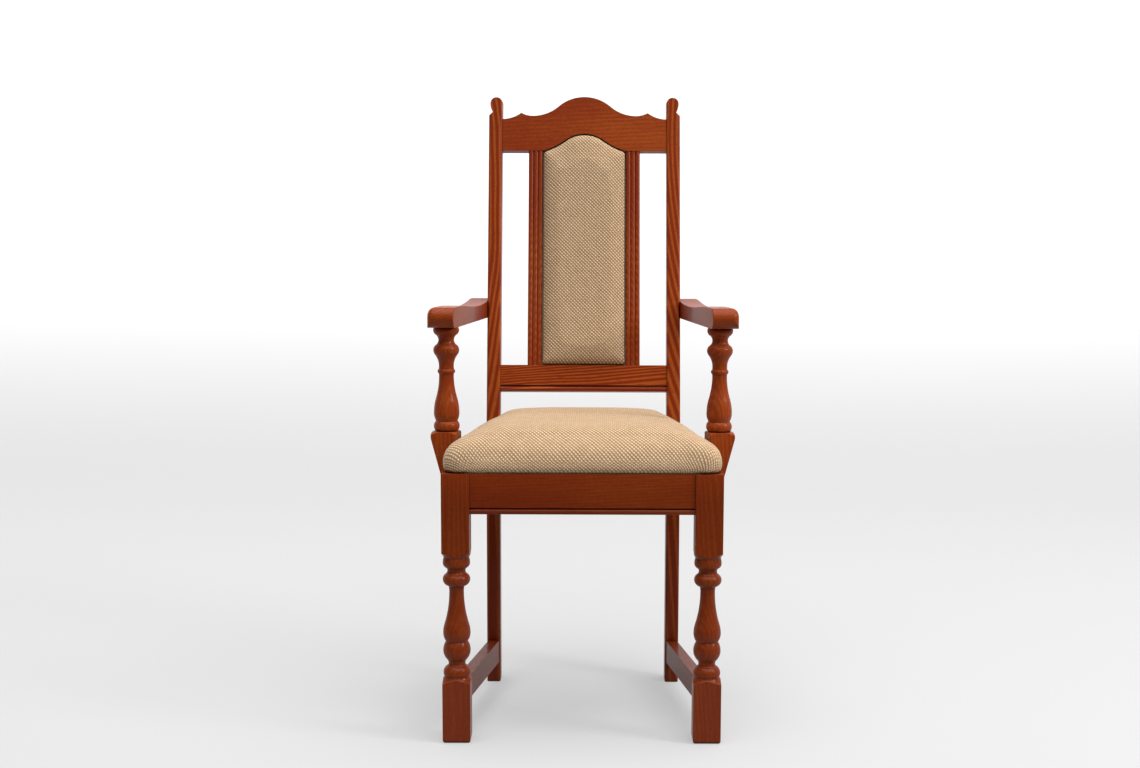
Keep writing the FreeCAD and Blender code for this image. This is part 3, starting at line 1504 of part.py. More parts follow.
pieces = [front_seat_rail(), rear_seat_rail(), crest_rail(), lower_back_rail()]
for side, sign in SIDES:
    pieces.append(front_leg(side, sign))
    pieces.append(back_post(side, sign))
    pieces.append(side_seat_rail(side, sign))
    pieces.append(side_piece("side_stretcher", side, sign, size("stretcher_reveal"), stretcher_across,
                             size("stretcher_lift"), size("stretcher_height")))
    pieces.append(front_corner_block(side, sign))
    pieces.append(rear_corner_block(side, sign))
    pieces.append(back_slat(side, sign))
    pieces.append(arm_support(side, sign))
    pieces.append(arm(side, sign))
pieces += [back_panel_board(), back_panel_foam(), back_panel_cover(), back_panel_cloth()]
pieces += [seat_board(), seat_foam(), seat_cover(), seat_dust_cover()]
pieces += screw_groups()
doc.recompute()

# Checks, then one file for each piece

faults = [f"{item.Label} failed: {item.State}" for item in doc.Objects
          if "Invalid" in item.State or "Error" in item.State]
faults += [f"{piece.Label} has no valid shape" for piece in pieces
           if piece.Shape.isNull() or not piece.Shape.isValid()]
if faults:
    raise RuntimeError("\n".join(faults))
os.makedirs("parts", exist_ok=True)
for piece in pieces:
    piece.Shape.exportStep(f"parts/{piece.Label}.step")
    box = piece.Shape.BoundBox
    print(f"{piece.Label:26s} solids {len(piece.Shape.Solids)}  volume {piece.Shape.Volume / 1000:9.2f} cm3  "
          f"z {box.ZMin:7.1f} to {box.ZMax:7.1f}")
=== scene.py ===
# %% [markdown]
# # A captain's dining chair
#
# The chair is stained oak with turned front legs and arm supports, a raked back with an arched
# crest rail, and a seat and back panel in beige basket weave cloth. The solid model gives every
# wooden piece its true shape. This lesson adds what a solid model leaves out: the cloth, the
# stuffing's soft form, the stain and lacquer, the staples and the light.

# %% Load the solid model
import bpy
import bmesh
import math
import numpy as np
from mathutils import Matrix, Vector


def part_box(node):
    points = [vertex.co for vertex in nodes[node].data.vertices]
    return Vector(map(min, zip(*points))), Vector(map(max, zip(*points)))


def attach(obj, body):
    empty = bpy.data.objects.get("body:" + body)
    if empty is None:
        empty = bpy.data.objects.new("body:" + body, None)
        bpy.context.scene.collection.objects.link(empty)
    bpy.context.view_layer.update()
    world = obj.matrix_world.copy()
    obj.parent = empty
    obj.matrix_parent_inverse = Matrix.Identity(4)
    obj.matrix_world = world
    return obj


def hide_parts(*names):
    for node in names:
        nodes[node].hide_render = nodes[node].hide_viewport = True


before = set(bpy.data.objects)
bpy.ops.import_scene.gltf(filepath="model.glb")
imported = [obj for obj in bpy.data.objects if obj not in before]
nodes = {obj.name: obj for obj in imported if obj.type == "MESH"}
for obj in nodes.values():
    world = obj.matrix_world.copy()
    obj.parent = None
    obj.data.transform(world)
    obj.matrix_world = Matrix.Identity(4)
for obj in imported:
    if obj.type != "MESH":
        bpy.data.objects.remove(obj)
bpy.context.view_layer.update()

# %% [markdown]
# ## The camera
#
# The photograph was taken from in front at about the height of the arms, with a lens a little
# longer than normal, and the camera looked slightly down. Lines that are parallel on the chair
# meet at points in the picture, and those points gave the lens, the tilt and the distance. The
# frame was cropped off centre, so the lens is shifted by the same small amount.

# %% Place the camera
leg_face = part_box("front_leg_left")[0].y
PHOTO_WIDTH, PHOTO_HEIGHT = 1140, 768
LENS_PIXELS = 1651.4
EYE_SIDE, EYE_DISTANCE, EYE_HEIGHT = 0.0106, 2.646, 0.857
EYE_TILT, EYE_ROLL = 0.1249, 0.0034
CENTRE_X, CENTRE_Y = 589.1, 429.3

camera = bpy.data.cameras.new("camera")
camera.sensor_width = 36
camera.lens = 36 * LENS_PIXELS / PHOTO_WIDTH
camera.shift_x = -(CENTRE_X - PHOTO_WIDTH / 2) / PHOTO_WIDTH
camera.shift_y = (CENTRE_Y - PHOTO_HEIGHT / 2) / PHOTO_WIDTH
eye = bpy.data.objects.new("camera", camera)
bpy.context.scene.collection.objects.link(eye)
look = Matrix.Rotation(math.pi / 2 - EYE_TILT, 4, "X") @ Matrix.Rotation(EYE_ROLL, 4, "Z")
eye.matrix_world = Matrix.Translation((EYE_SIDE, leg_face - EYE_DISTANCE, EYE_HEIGHT)) @ look
bpy.context.scene.camera = eye
bpy.context.scene.view_settings.view_transform = "Standard"
print("lens", round(camera.lens, 1), "mm")

# %% [markdown]
# ## Expressions that build shaders
#
# A material's maths reads best as a line of arithmetic. The class below wraps one socket, and
# each operator adds a Math node. Every other kind of node comes from one method, which takes
# the node's type, its settings and the values of its sockets.

# %% A small language for materials
class Link:
    """One output of a material's node, which takes part in Python expressions."""

    def __init__(self, finish, socket):
        self.finish = finish
        self.socket = socket

    def maths(self, operation, *others):
        return self.finish.node("Math", {"operation": operation}, dict(enumerate((self,) + others)))

    def __add__(self, other):
        return self.maths("ADD", other)

    def __sub__(self, other):
        return self.maths("SUBTRACT", other)

    def __rsub__(self, other):
        return self.finish.node("Math", {"operation": "SUBTRACT"}, {0: other, 1: self})

    def __mul__(self, other):
        return self.maths("MULTIPLY", other)

    __radd__ = __add__
    __rmul__ = __mul__

    def __pow__(self, other):
        return self.maths("POWER", other)


class Finish:
    """A material under construction."""

    def __init__(self, name):
        self.material = bpy.data.materials.new(name)
        self.material.use_nodes = True
        self.tree = self.material.node_tree
        self.tree.nodes.clear()

    def node(self, kind, settings=None, sockets=None, out=0):
        """Adds a node, sets it up, fills its sockets with numbers or links and returns an output."""
        node = self.tree.nodes.new("ShaderNode" + kind)
        for key, value in (settings or {}).items():
            setattr(node, key, value)
        for key, value in (sockets or {}).items():
            if isinstance(value, Link):
                self.tree.links.new(value.socket, node.inputs[key])
            else:
                node.inputs[key].default_value = value
        return Link(self, node.outputs[out])

    def mix(self, share, first, second):
        """A colour between two others."""
        return self.node("Mix", {"data_type": "RGBA", "clamp_factor": True},
                         {0: share, 6: first, 7: second}, 2)

    def split(self, vector):
        """The three parts of a vector."""
        first = self.node("SeparateXYZ", None, {0: vector})
        return [Link(self, socket) for socket in first.socket.node.outputs]

    def object_place(self):
        """Where a point lies in its own object, in metres."""
        return self.node("TexCoord", None, None, 3)

    def noise(self, place, scale, detail=2.0, rough=0.5):
        return self.node("TexNoise", None, {"Vector": place, "Scale": scale, "Detail": detail,
                                            "Roughness": rough})

    def clamp(self, value, low, high):
        """Zero below low, one above high and smooth between."""
        return self.node("MapRange", {"interpolation_type": "SMOOTHSTEP"},
                         {"Value": value, "From Min": low, "From Max": high})

    def surface(self, **sockets):
        """Ends the material with a principled shader."""
        names = {name.replace("_", " "): value for name, value in sockets.items()}
        shader = self.node("BsdfPrincipled", None, names)
        output = self.tree.nodes.new("ShaderNodeOutputMaterial")
        self.tree.links.new(shader.socket, output.inputs[0])
        return self.material


# %% [markdown]
# ## Oak under a red-brown stain
#
# Oak is ring porous: each year's ring starts with a band of open pores. Stain soaks into those
# pores and into end grain, so the rings show as dark streaks, and where a board is cut across
# the rings they show as arches. Here a piece's rings are circles round a pith line that lies
# outside it and leans a little against its length, and its fibres are noise stretched along
# the grain. Ambient occlusion from outside the wood darkens grooves and places where parts
# meet, both as stain that gathers there and as painted shade, and from inside it finds
# corners, which get a painted highlight.

# %% The stained oak
DEEP_STAIN_AND_SHADE = (0.034, 0.0034, 0.0010, 1)
RED_STAIN = (0.190, 0.022, 0.0036, 1)
WARM_STAIN = (0.330, 0.066, 0.0090, 1)
# The next colour is a painted highlight for convex edges.
EDGE_HIGHLIGHT_COLOUR = (0.400, 0.130, 0.045, 1)
GRAIN_TURNS = {"X": (0, math.pi / 2, 0), "Y": (math.pi / 2, 0, 0), "Z": (0, 0, 0)}
FULL_TURN = 2 * math.pi
frame_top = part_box("seat_board")[0].z


def stained_oak(name, grain, centre, pith, lean, ring, warmth, figure, seat_shade):
    """Oak whose grain runs along an axis through centre, with its pith line off to one side.

    The last argument is painted shade under the seat: how far the deep stain colour covers the
    piece below the seat. Above the seat the distance behind the pith line, in metres, takes its
    place, so it is about a tenth there at most.
    """
    oak = Finish(name)
    place = oak.object_place()
    local = oak.node("VectorMath", {"operation": "SUBTRACT"}, {0: place, 1: centre})
    turned = oak.node("Mapping", {"vector_type": "POINT"},
                      {"Vector": local, "Rotation": GRAIN_TURNS[grain]})
    across, through, along = oak.split(turned)

    # Rings round the pith line, which wander a little.
    slow = oak.node("Mapping", None, {"Vector": turned, "Scale": (1, 1, 0.22)})
    wander = oak.noise(slow, 14, 2.0) - 0.5
    side = across - pith[0] + along * lean + wander * 0.012
    behind = through - pith[1] + along * (lean * 0.4)
    radius = (side * side + behind * behind) ** 0.5
    rings = (radius * (FULL_TURN / ring) + wander * 8).maths("SINE") * 0.5 + 0.5

    # Fibres and open pores along the grain, and patches that took more or less stain.
    stretched = oak.node("Mapping", None, {"Vector": turned, "Scale": (1, 1, 0.035)})
    fibre = oak.noise(stretched, 620, 3.0, 0.6)
    pores = oak.clamp(oak.noise(stretched, 1150), 0.56, 0.70) * oak.clamp(rings, 0.25, 0.9)
    cloud = oak.noise(slow, 7)
    mottle = oak.noise(turned, 210, 3.0, 0.7)

    bands = (rings ** 1.6 - 0.4) * figure * (cloud * 2.4 - 0.2)
    tone = bands + fibre * 0.40 + mottle * 0.35 + (cloud - 0.5) * 0.9
    light = oak.clamp(tone, 0.16, 0.98 - 0.38 * warmth)
    colour = oak.mix(light, RED_STAIN, WARM_STAIN)
    colour = oak.mix(pores * (0.35 + 0.5 * figure), colour, DEEP_STAIN_AND_SHADE)

    # Painted shade under the seat: below it the wood is mixed towards the deep stain colour.
    above = oak.clamp(oak.split(place)[2], frame_top - 0.06, frame_top + 0.04)
    colour = oak.mix(above * (behind - seat_shade) + seat_shade, colour, DEEP_STAIN_AND_SHADE)

    # Hollows darken with gathered stain and painted shade, and convex corners get a painted
    # highlight.
    hollow = oak.node("AmbientOcclusion", {"samples": 6}, {"Distance": 0.012}, 1)
    colour = oak.mix(oak.clamp(1 - hollow, 0.20, 0.75) * 0.9, colour, DEEP_STAIN_AND_SHADE)
    # Painted highlight: convex edges found from inside the wood are lightened.
    corner = oak.node("AmbientOcclusion", {"samples": 6, "inside": True}, {"Distance": 0.0022}, 1)
    edge_highlight = oak.clamp(1 - corner, 0.35, 0.75) * oak.clamp(fibre + cloud * 0.6, 0.5, 1.0)
    colour = oak.mix(edge_highlight * 0.35, colour, EDGE_HIGHLIGHT_COLOUR)

    eased = oak.node("Bevel", {"samples": 4}, {"Radius": 0.0010})
    ground = oak.node("Bump", None, {"Strength": 0.35, "Distance": 0.0004,
                                     "Height": fibre * 0.4 - pores, "Normal": eased})
    return oak.surface(Base_Color=colour, Roughness=fibre * 0.12 + pores * 0.15 + 0.38,
                       Specular_IOR_Level=0.06, Coat_Weight=0.25 - pores * 0.2,
                       Coat_Roughness=0.13, Coat_IOR=1.33, Normal=ground)


# %% [markdown]
# Each piece was sawn from its own board, so each one gets its own pith, and its grain runs
# along its length. The lower back rail shows arches in the photograph: its pith lies close
# under its lower edge and leans, so that the rings break out of the face.

# %% Dress the wooden pieces
def wear(name, material):
    for held in nodes[name].material_slots:
        held.material = material


# Grain direction, pith, lean, ring width, warmth, strength of the figure, and how far the
# deep stain colour covers the piece below the seat as painted shade under it.
GRAINS = {
    "front_leg": ("Z", (0.045, 0.050), 0.05, 0.0045, 0.15, 0.13, 0.42),
    "back_post": ("Z", (0.070, 0.030), 0.05, 0.0085, 0.55, 0.75, 0.45),
    "back_slat": ("Z", (0.030, 0.060), 0.02, 0.0030, 0.15, 0.25, 0.08),
    "arm_support": ("Z", (0.040, 0.045), 0.05, 0.0042, 0.25, 0.14, 0.56),
    "arm": ("Y", (0.050, -0.070), 0.05, 0.0048, 0.20, 0.18, 0.74),
    "side_seat_rail": ("Y", (0.080, 0.060), 0.03, 0.0046, 0.20, 0.25, 0.30),
    "side_stretcher": ("Y", (0.060, 0.060), 0.03, 0.0044, 0.20, 0.25, 0.55),
    "crest_rail": ("X", (0.160, 0.060), 0.05, 0.0075, 0.55, 0.10, 0.02),
    "lower_back_rail": ("X", (-0.034, 0.012), 0.09, 0.0042, 0.60, 0.80, 0.05),
    "front_seat_rail": ("X", (0.150, 0.060), 0.04, 0.0050, 0.10, 0.10, 0.40),
    "rear_seat_rail": ("X", (0.090, 0.070), 0.03, 0.0046, 0.20, 0.25, 0.30),
}
BOARD_STEP = 0.013


def board_of(node):
    """The kind of piece that a node is, such as arm for arm_left."""
    return node.removesuffix("_left").removesuffix("_right")


oak_pieces = [name for name in sorted(nodes) if board_of(name) in GRAINS]
for number, name in enumerate(oak_pieces):
    grain, pith, *figure = GRAINS[board_of(name)]
    sign = -1 if name.endswith("_left") else 1
    low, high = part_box(name)
    centre = (low + high) / 2
    if grain == "Z":
        centre.z += BOARD_STEP * number
    wear(name, stained_oak("oak_" + name, grain, tuple(centre), (pith[0] * sign, pith[1]), *figure))
print(len(oak_pieces), "oak pieces")

# %% [markdown]
# ## Hidden timber, board and steel
#
# Under the seat and behind the panel are pieces that nobody polishes: sawn corner blocks,
# plywood boards and plated screws. They are plain, but they aren't one flat colour.

# %% Sawn wood, plywood and plated steel
def sawn_wood(name, scale):
    wood = Finish(name)
    place = wood.object_place()
    stretched = wood.node("Mapping", None, {"Vector": place, "Scale": scale})
    fibre = wood.noise(stretched, 160, 4.0, 0.6)
    cloud = wood.noise(place, 18, 2.0)
    colour = wood.mix(fibre * 0.8 + cloud * 0.3, (0.28, 0.15, 0.07, 1), (0.62, 0.42, 0.24, 1))
    rough = wood.node("Bump", None, {"Strength": 0.4, "Distance": 0.0004, "Height": fibre})
    return wood.surface(Base_Color=colour, Roughness=fibre * 0.2 + 0.55, Normal=rough)


def plated_steel():
    steel = Finish("plated_steel")
    place = steel.object_place()
    dull = steel.noise(place, 300, 3.0)
    colour = steel.mix(dull, (0.42, 0.42, 0.44, 1), (0.68, 0.66, 0.60, 1))
    return steel.surface(Base_Color=colour, Metallic=1.0, Roughness=dull * 0.2 + 0.25)


blocks = sawn_wood("sawn_block", (1, 1, 0.15))
plywood = sawn_wood("plywood", (0.15, 1, 1))
steel = plated_steel()
for name in sorted(nodes):
    if "corner_block" in name and "screws" not in name:
        wear(name, blocks)
    if name in ("seat_board", "back_panel_board", "arm_dowels"):
        wear(name, plywood)
    if name.endswith("_screws"):
        wear(name, steel)

# %% [markdown]
# ## The basket weave cloth
#
# The cloth is a chunky basket weave laid on the bias. Thick pale yarns lie side by side down
# one diagonal, and darker cross yarns bind them, so the eye sees rows of pale strokes with a
# dark gap at each crossing. The pattern follows the cloth, so it reads a map of the cloth in
# metres and not the room's axes. Every float gets a tone of its own, as heathered yarn has.

# %% Weave the cloth
PALE_YARN = (0.78, 0.60, 0.41, 1)
MID_YARN = (0.60, 0.42, 0.255, 1)
SHADE_YARN = (0.26, 0.145, 0.065, 1)
WEAVE_PITCH = 0.0046


def basket_cloth():
    cloth = Finish("beige_basket_cloth")
    flat = cloth.node("UVMap", {"uv_map": "cloth"})
    drift = cloth.node("TexNoise", None, {"Vector": flat, "Scale": 38, "Detail": 1.0}, 1)
    bent = cloth.node("VectorMath", {"operation": "MULTIPLY_ADD"},
                      {0: drift, 1: (0.0022,) * 3, 2: flat})
    u, v = cloth.split(bent)[:2]
    across = (u + v) * (math.sqrt(0.5) / WEAVE_PITCH)
    along = (u - v) * (math.sqrt(0.5) / WEAVE_PITCH)

    float_round = 0.5 - (across * FULL_TURN).maths("COSINE") * 0.5
    float_length = 0.5 - (along * FULL_TURN).maths("COSINE") * 0.5
    pale = cloth.clamp(float_round, 0.22, 0.90) * cloth.clamp(float_length, 0.0, 0.30)
    height = pale + float_length * 0.25

    cell = cloth.node("CombineXYZ", None, {0: across.maths("FLOOR"), 1: along.maths("FLOOR")})
    own_tone = cloth.node("TexWhiteNoise", {"noise_dimensions": "2D"}, {"Vector": cell})
    fuzz = cloth.noise(flat, 2400, 3.0, 0.7)
    patch = cloth.noise(flat, 55, 3.0, 0.6)
    shade = cloth.mix(own_tone * 0.35 + fuzz * 0.4, MID_YARN, PALE_YARN)
    colour = cloth.mix(cloth.clamp(pale, 0.0, 0.75) * 0.82 + patch * 0.26, SHADE_YARN, shade)
    relief = cloth.node("Bump", None, {"Strength": 0.7, "Distance": 0.0010,
                                       "Height": height + fuzz * 0.3})
    return cloth.surface(Base_Color=colour, Roughness=0.88 - fuzz * 0.08, Sheen_Weight=0.15,
                         Sheen_Roughness=0.5, Sheen_Tint=(1.0, 0.88, 0.72, 1),
                         Specular_IOR_Level=0.2, Normal=relief)


basket = basket_cloth()

# %% [markdown]
# ## Making a stuffed piece
#
# A cushion is cloth held down round its edge and pushed out by foam. So each one starts as a
# stack of rings a little smaller than the finished piece, is remeshed evenly, and is blown up
# as cloth for a few frames with its lower edge held. Cloth buckles a little as it swells, so
# each point's shift is spread over its neighbours, and how far a point may move is capped.

# %% Rings, remeshing and inflation
IRONING_ROUNDS = 70
SIMULATED_FRAMES = 20
CLOTH_STIFFNESS = {"tension_stiffness": 18, "compression_stiffness": 18, "shear_stiffness": 6,
                   "bending_stiffness": 1.5}


def skin(name, rings):
    """A closed mesh through rings of equally many points, with a fan on each end."""
    mesh = bpy.data.meshes.new(name)
    count = len(rings[0])
    points = [p for ring in rings for p in ring]
    faces = []
    for level in range(len(rings) - 1):
        for i in range(count):
            j = (i + 1) % count
            here, above = level * count, (level + 1) * count
            faces.append((here + i, here + j, above + j, above + i))
    for ring, flip in ((0, True), (len(rings) - 1, False)):
        points.append(tuple(np.mean(np.array(rings[ring]), axis=0)))
        hub = len(points) - 1
        for i in range(count):
            pair = (ring * count + i, ring * count + (i + 1) % count)
            faces.append((pair[1], pair[0], hub) if flip else (pair[0], pair[1], hub))
    mesh.from_pydata(points, [], faces)
    shaper = bmesh.new()
    shaper.from_mesh(mesh)
    bmesh.ops.recalc_face_normals(shaper, faces=shaper.faces)
    shaper.to_mesh(mesh)
    shaper.free()
    piece = bpy.data.objects.new(name, mesh)
    bpy.context.scene.collection.objects.link(piece)
    return piece


def bake(piece):
    """Turns a piece with its modifiers into a plain mesh."""
    bpy.context.view_layer.update()
    graph = bpy.context.evaluated_depsgraph_get()
    mesh = bpy.data.meshes.new_from_object(piece.evaluated_get(graph))
    piece.modifiers.clear()
    piece.data = mesh
    return piece


def places(piece):
    spots = np.empty(len(piece.data.vertices) * 3)
    piece.data.vertices.foreach_get("co", spots)
    return spots.reshape(-1, 3)


def move(piece, spots):
    piece.data.vertices.foreach_set("co", np.ascontiguousarray(spots).ravel())
    piece.data.update()


def even_out(piece, shift, rounds):
    """Spreads each point's shift over its neighbours, which irons out the buckles between them."""
    pairs = np.empty(len(piece.data.edges) * 2, dtype=int)
    piece.data.edges.foreach_get("vertices", pairs)
    first, second = pairs.reshape(-1, 2).T
    ends, others = np.concatenate([first, second]), np.concatenate([second, first])
    share = np.bincount(ends, minlength=len(shift))
    for _ in range(rounds):
        near = np.stack([np.bincount(ends, shift[others, k], len(shift)) for k in range(3)], 1)
        shift = (shift + near / share[:, None]) / 2
    return shift


def inflate(piece, voxel, pressure, cap, held):
    """Remeshes a piece evenly and blows it up as cloth. held says which points stay put."""
    remesh = piece.modifiers.new("even", "REMESH")
    remesh.mode, remesh.voxel_size = "VOXEL", voxel
    bake(piece)
    start = places(piece)
    fixed = piece.vertex_groups.new(name="held")
    fixed.add([int(i) for i in np.nonzero(held(start))[0]], 1.0, "REPLACE")
    cloth = piece.modifiers.new("stuffing", "CLOTH")
    cloth.settings.quality = 6
    cloth.settings.mass = 0.3
    for key, value in CLOTH_STIFFNESS.items():
        setattr(cloth.settings, key, value)
    cloth.settings.use_pressure = True
    cloth.settings.uniform_pressure_force = pressure
    cloth.settings.vertex_group_mass = "held"
    cloth.settings.effector_weights.gravity = 0
    cloth.point_cache.frame_start, cloth.point_cache.frame_end = 1, SIMULATED_FRAMES
    for step in range(1, SIMULATED_FRAMES + 1):
        bpy.context.scene.frame_set(step)
    bake(piece)
    bpy.context.scene.frame_set(1)
    shift = even_out(piece, places(piece) - start, IRONING_ROUNDS)
    length = np.linalg.norm(shift, axis=1)
    factor = np.minimum(1, cap / np.maximum(length, 1e-9))
    move(piece, start + shift * factor[:, None])
    furthest = round(float(min(length.max(), cap)) * 1000, 1)
    print(piece.name, len(start), "points, moved up to", furthest, "mm")


def smooth(piece):
    """One finer subdivision, shaded smoothly."""
    finer = piece.modifiers.new("finer", "SUBSURF")
    finer.levels = finer.render_levels = 1
    bake(piece)
    for face in piece.data.polygons:
        face.use_smooth = True


def ease(value, low, high):
    """Zero below low, one above high and smooth between."""
    share = np.clip((value - low) / (high - low), 0, 1)
    return share * share * (3 - 2 * share)


def lay_cloth(piece, flat):
    """Gives a piece the map of its cloth: flat turns points into two columns of metres."""
    where = flat(places(piece))
    layer = piece.data.uv_layers.new(name="cloth")
    corners = np.empty(len(piece.data.loops), dtype=int)
    piece.data.loops.foreach_get("vertex_index", corners)
    layer.data.foreach_set("uv", where[corners].ravel())


# %% [markdown]
# ## The seat cushion
#
# The cloth is pulled over thick foam and stapled under the seat board, so the cushion's side
# stands almost upright on the rail, bulges a little, and rolls over into a broad crown. It
# presses against both arm supports and is cut in round the back posts.

# %% Shape the seat cushion
support_low, support_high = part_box("arm_support_right")
post_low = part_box("back_post_right")[0]
SEAT_SLOPE = 51 / 326.5
SEAT_FRONT_HALF = 0.2353
SEAT_DEPTH = 0.392
SEAT_CROWN = 0.071
SEAT_OVERHANG = 0.002
CORNER_FULLNESS = 0.55
seat_front = leg_face - SEAT_OVERHANG


def seat_ring(level, inset, corner):
    """One ring of the seat: straight sides joined by round corners."""
    front, back = seat_front + inset, seat_front + SEAT_DEPTH - inset
    slant = math.hypot(1, SEAT_SLOPE)
    half = [SEAT_FRONT_HALF - inset * slant - SEAT_SLOPE * (y - leg_face) for y in (front, back)]
    plan = np.array([(half[0], front), (half[1], back), (-half[1], back), (-half[0], front)])
    ring = []
    for i, here in enumerate(plan):
        before, after = plan[i - 1], plan[(i + 1) % 4]
        back_way = (before - here) / np.linalg.norm(before - here)
        onward = (after - here) / np.linalg.norm(after - here)
        start, end = here + back_way * corner, here + onward * corner
        leave = after - onward * corner
        a, b = start + (here - start) * CORNER_FULLNESS, end + (here - end) * CORNER_FULLNESS
        for t in np.linspace(0, 1, 12):
            u = 1 - t
            ring.append(u ** 3 * start + 3 * t * u ** 2 * a + 3 * t * t * u * b + t ** 3 * end)
        ring += [end + (leave - end) * t for t in np.linspace(0, 1, 16)[1:-1]]
    return [(p[0], p[1], frame_top + level) for p in ring]


# Height above the frame, inset from the outline and corner size of each ring.
SEAT_LEVELS = (
    (0.0006, 0.0030, 0.034), (0.010, 0.0010, 0.034), (0.024, 0.0005, 0.034), (0.036, 0.0030, 0.036),
    (0.046, 0.0085, 0.040), (0.054, 0.0180, 0.045), (0.061, 0.0340, 0.050), (0.0655, 0.055, 0.056),
    (0.0685, 0.085, 0.060), (0.0700, 0.120, 0.060),
)
seat_cushion = skin("seat_cushion", [seat_ring(*level) for level in SEAT_LEVELS])
inflate(seat_cushion, 0.0055, 4.0, 0.007, lambda p: p[:, 2] < frame_top + 0.008)
print("seat cushion", [round(v, 3) for v in seat_cushion.dimensions])

# %% [markdown]
# The arm supports and the posts press into the cushion's sides. A point that would lie inside
# one of them is pushed back to its face, and its neighbours less and less with distance.

# %% Press the cushion against the supports and posts
SUPPORT_CLEARANCE, POST_SIDE_CLEARANCE, POST_CLEARANCE = 0.0033, 0.0025, 0.0020


def settle_seat(p):
    """Dents where wood presses, and the shallow hollow of a seat that has been sat on."""
    p = p.copy()
    side = np.sign(p[:, 0])
    across = np.abs(p[:, 0])
    depth = p[:, 1] - leg_face
    support = (support_low.y + support_high.y) / 2 - leg_face
    face = SEAT_FRONT_HALF - SUPPORT_CLEARANCE - SEAT_SLOPE * depth
    spare = ease(np.abs(depth - support), 0.024, 0.062) * 0.012
    across = np.minimum(across, face + spare)
    notch = post_low.x - POST_SIDE_CLEARANCE
    behind = post_low.y - POST_CLEARANCE - leg_face
    limit = behind + (1 - ease(across, notch - 0.018, notch)) * 0.03
    depth = np.minimum(depth, limit)
    top = ease(p[:, 2] - frame_top, 0.050, 0.068)
    valley = np.exp(-((depth - 0.215 + p[:, 0] * 0.10) / 0.026) ** 2)
    valley = valley * ease(0.22 - across, 0.0, 0.10)
    p[:, 0] = across * side
    p[:, 1] = depth + leg_face
    p[:, 2] -= top * valley * 0.0030
    return p


def seat_cloth(p):
    """Unrolls the seat: flat across the crown, then down the sides."""
    core = np.stack([np.clip(p[:, 0], -0.150, 0.150),
                     np.clip(p[:, 1], seat_front + 0.07, seat_front + 0.32)], 1)
    away = p[:, :2] - core
    reach = np.linalg.norm(away, axis=1)
    drop = np.maximum(frame_top + SEAT_CROWN - p[:, 2], 0)
    run = np.maximum(np.hypot(reach, drop), reach)
    run = np.where(reach > 1e-6, np.where(drop < 0.05, run, run + (drop - 0.05) * 0.6), 0)
    return core + away / np.maximum(reach, 1e-6)[:, None] * run[:, None]


smooth(seat_cushion)
move(seat_cushion, settle_seat(places(seat_cushion)))
lay_cloth(seat_cushion, seat_cloth)
seat_cushion.data.materials.append(basket)
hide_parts("seat_cover", "seat_foam")
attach(seat_cushion, "root")

# %% [markdown]
# ## The back panel's pad
#
# The pad fills the space between the reeded slats and follows the arch of the crest rail. It
# is thinner and tighter than the seat, so it is drawn in sharply at its edge and almost flat
# in the middle. It leans with the back, so it is shaped upright and then laid back.

# %% Shape the back pad
RAKE = math.radians(11.8)
BEND_HEIGHT = 0.450
post_front = post_low.y


def lay_back(across, along, depth):
    """A point on the raked back, from its distances across, along and through it."""
    return (across, post_front + along * math.sin(RAKE) + depth * math.cos(RAKE),
            BEND_HEIGHT + along * math.cos(RAKE) - depth * math.sin(RAKE))


def stand_up(p):
    """Distances along and through the raked back, the other way about."""
    up, out = p[:, 2] - BEND_HEIGHT, p[:, 1] - post_front
    return up * math.cos(RAKE) + out * math.sin(RAKE), out * math.cos(RAKE) - up * math.sin(RAKE)


PANEL_HALF, PANEL_LOW, ARCH_BASE = 0.0778, 0.1478, 0.5513
ARCH_RISE, SHOULDER_RISE, ARCH_SHOULDER = 0.0323, 0.022, 0.034
ARCH_DROP = ARCH_RISE - SHOULDER_RISE
ARCH_RADIUS = (ARCH_SHOULDER ** 2 + ARCH_DROP ** 2) / (2 * ARCH_DROP)
FLARE_RADIUS = 0.150


def arch(x, inset):
    """Height of the arch at x, drawn in by inset: a round crown between two hollow flares."""
    x, crown = abs(x), ARCH_RADIUS - inset
    shoulder, foot = ARCH_SHOULDER - 0.6 * inset, PANEL_HALF - inset
    top, base = ARCH_BASE + ARCH_RISE - inset, ARCH_BASE - inset
    if x < shoulder:
        return top - crown + math.sqrt(crown ** 2 - x * x)
    step = top - crown + math.sqrt(crown ** 2 - shoulder ** 2)
    run, fall = foot - shoulder, step - base
    chord = math.hypot(run, fall)
    flare = FLARE_RADIUS + inset
    out = math.sqrt(flare ** 2 - chord ** 2 / 4) / chord
    hub_x, hub_z = (foot + shoulder) / 2 + fall * out, (step + base) / 2 + run * out
    return hub_z - math.sqrt(flare ** 2 - (min(x, foot) - hub_x) ** 2)


def pad_ring(depth, inset):
    """One ring of the pad, round its straight sides and its arch."""
    half, low = PANEL_HALF - inset, PANEL_LOW + inset
    ring = [(x, low) for x in np.linspace(-half, half, 18)[:-1]]
    ring += [(half, z) for z in np.linspace(low, arch(half, inset), 44)[:-1]]
    ring += [(x, arch(x, inset)) for x in np.linspace(half, -half, 36)[:-1]]
    ring += [(-half, z) for z in np.linspace(arch(half, inset), low, 44)[:-1]]
    return [lay_back(x, z, depth) for x, z in ring]


def back_cloth(p):
    """The back's cloth lies flat: its map is the distance across and along the raked back."""
    return np.stack([p[:, 0], stand_up(p)[0]], 1)


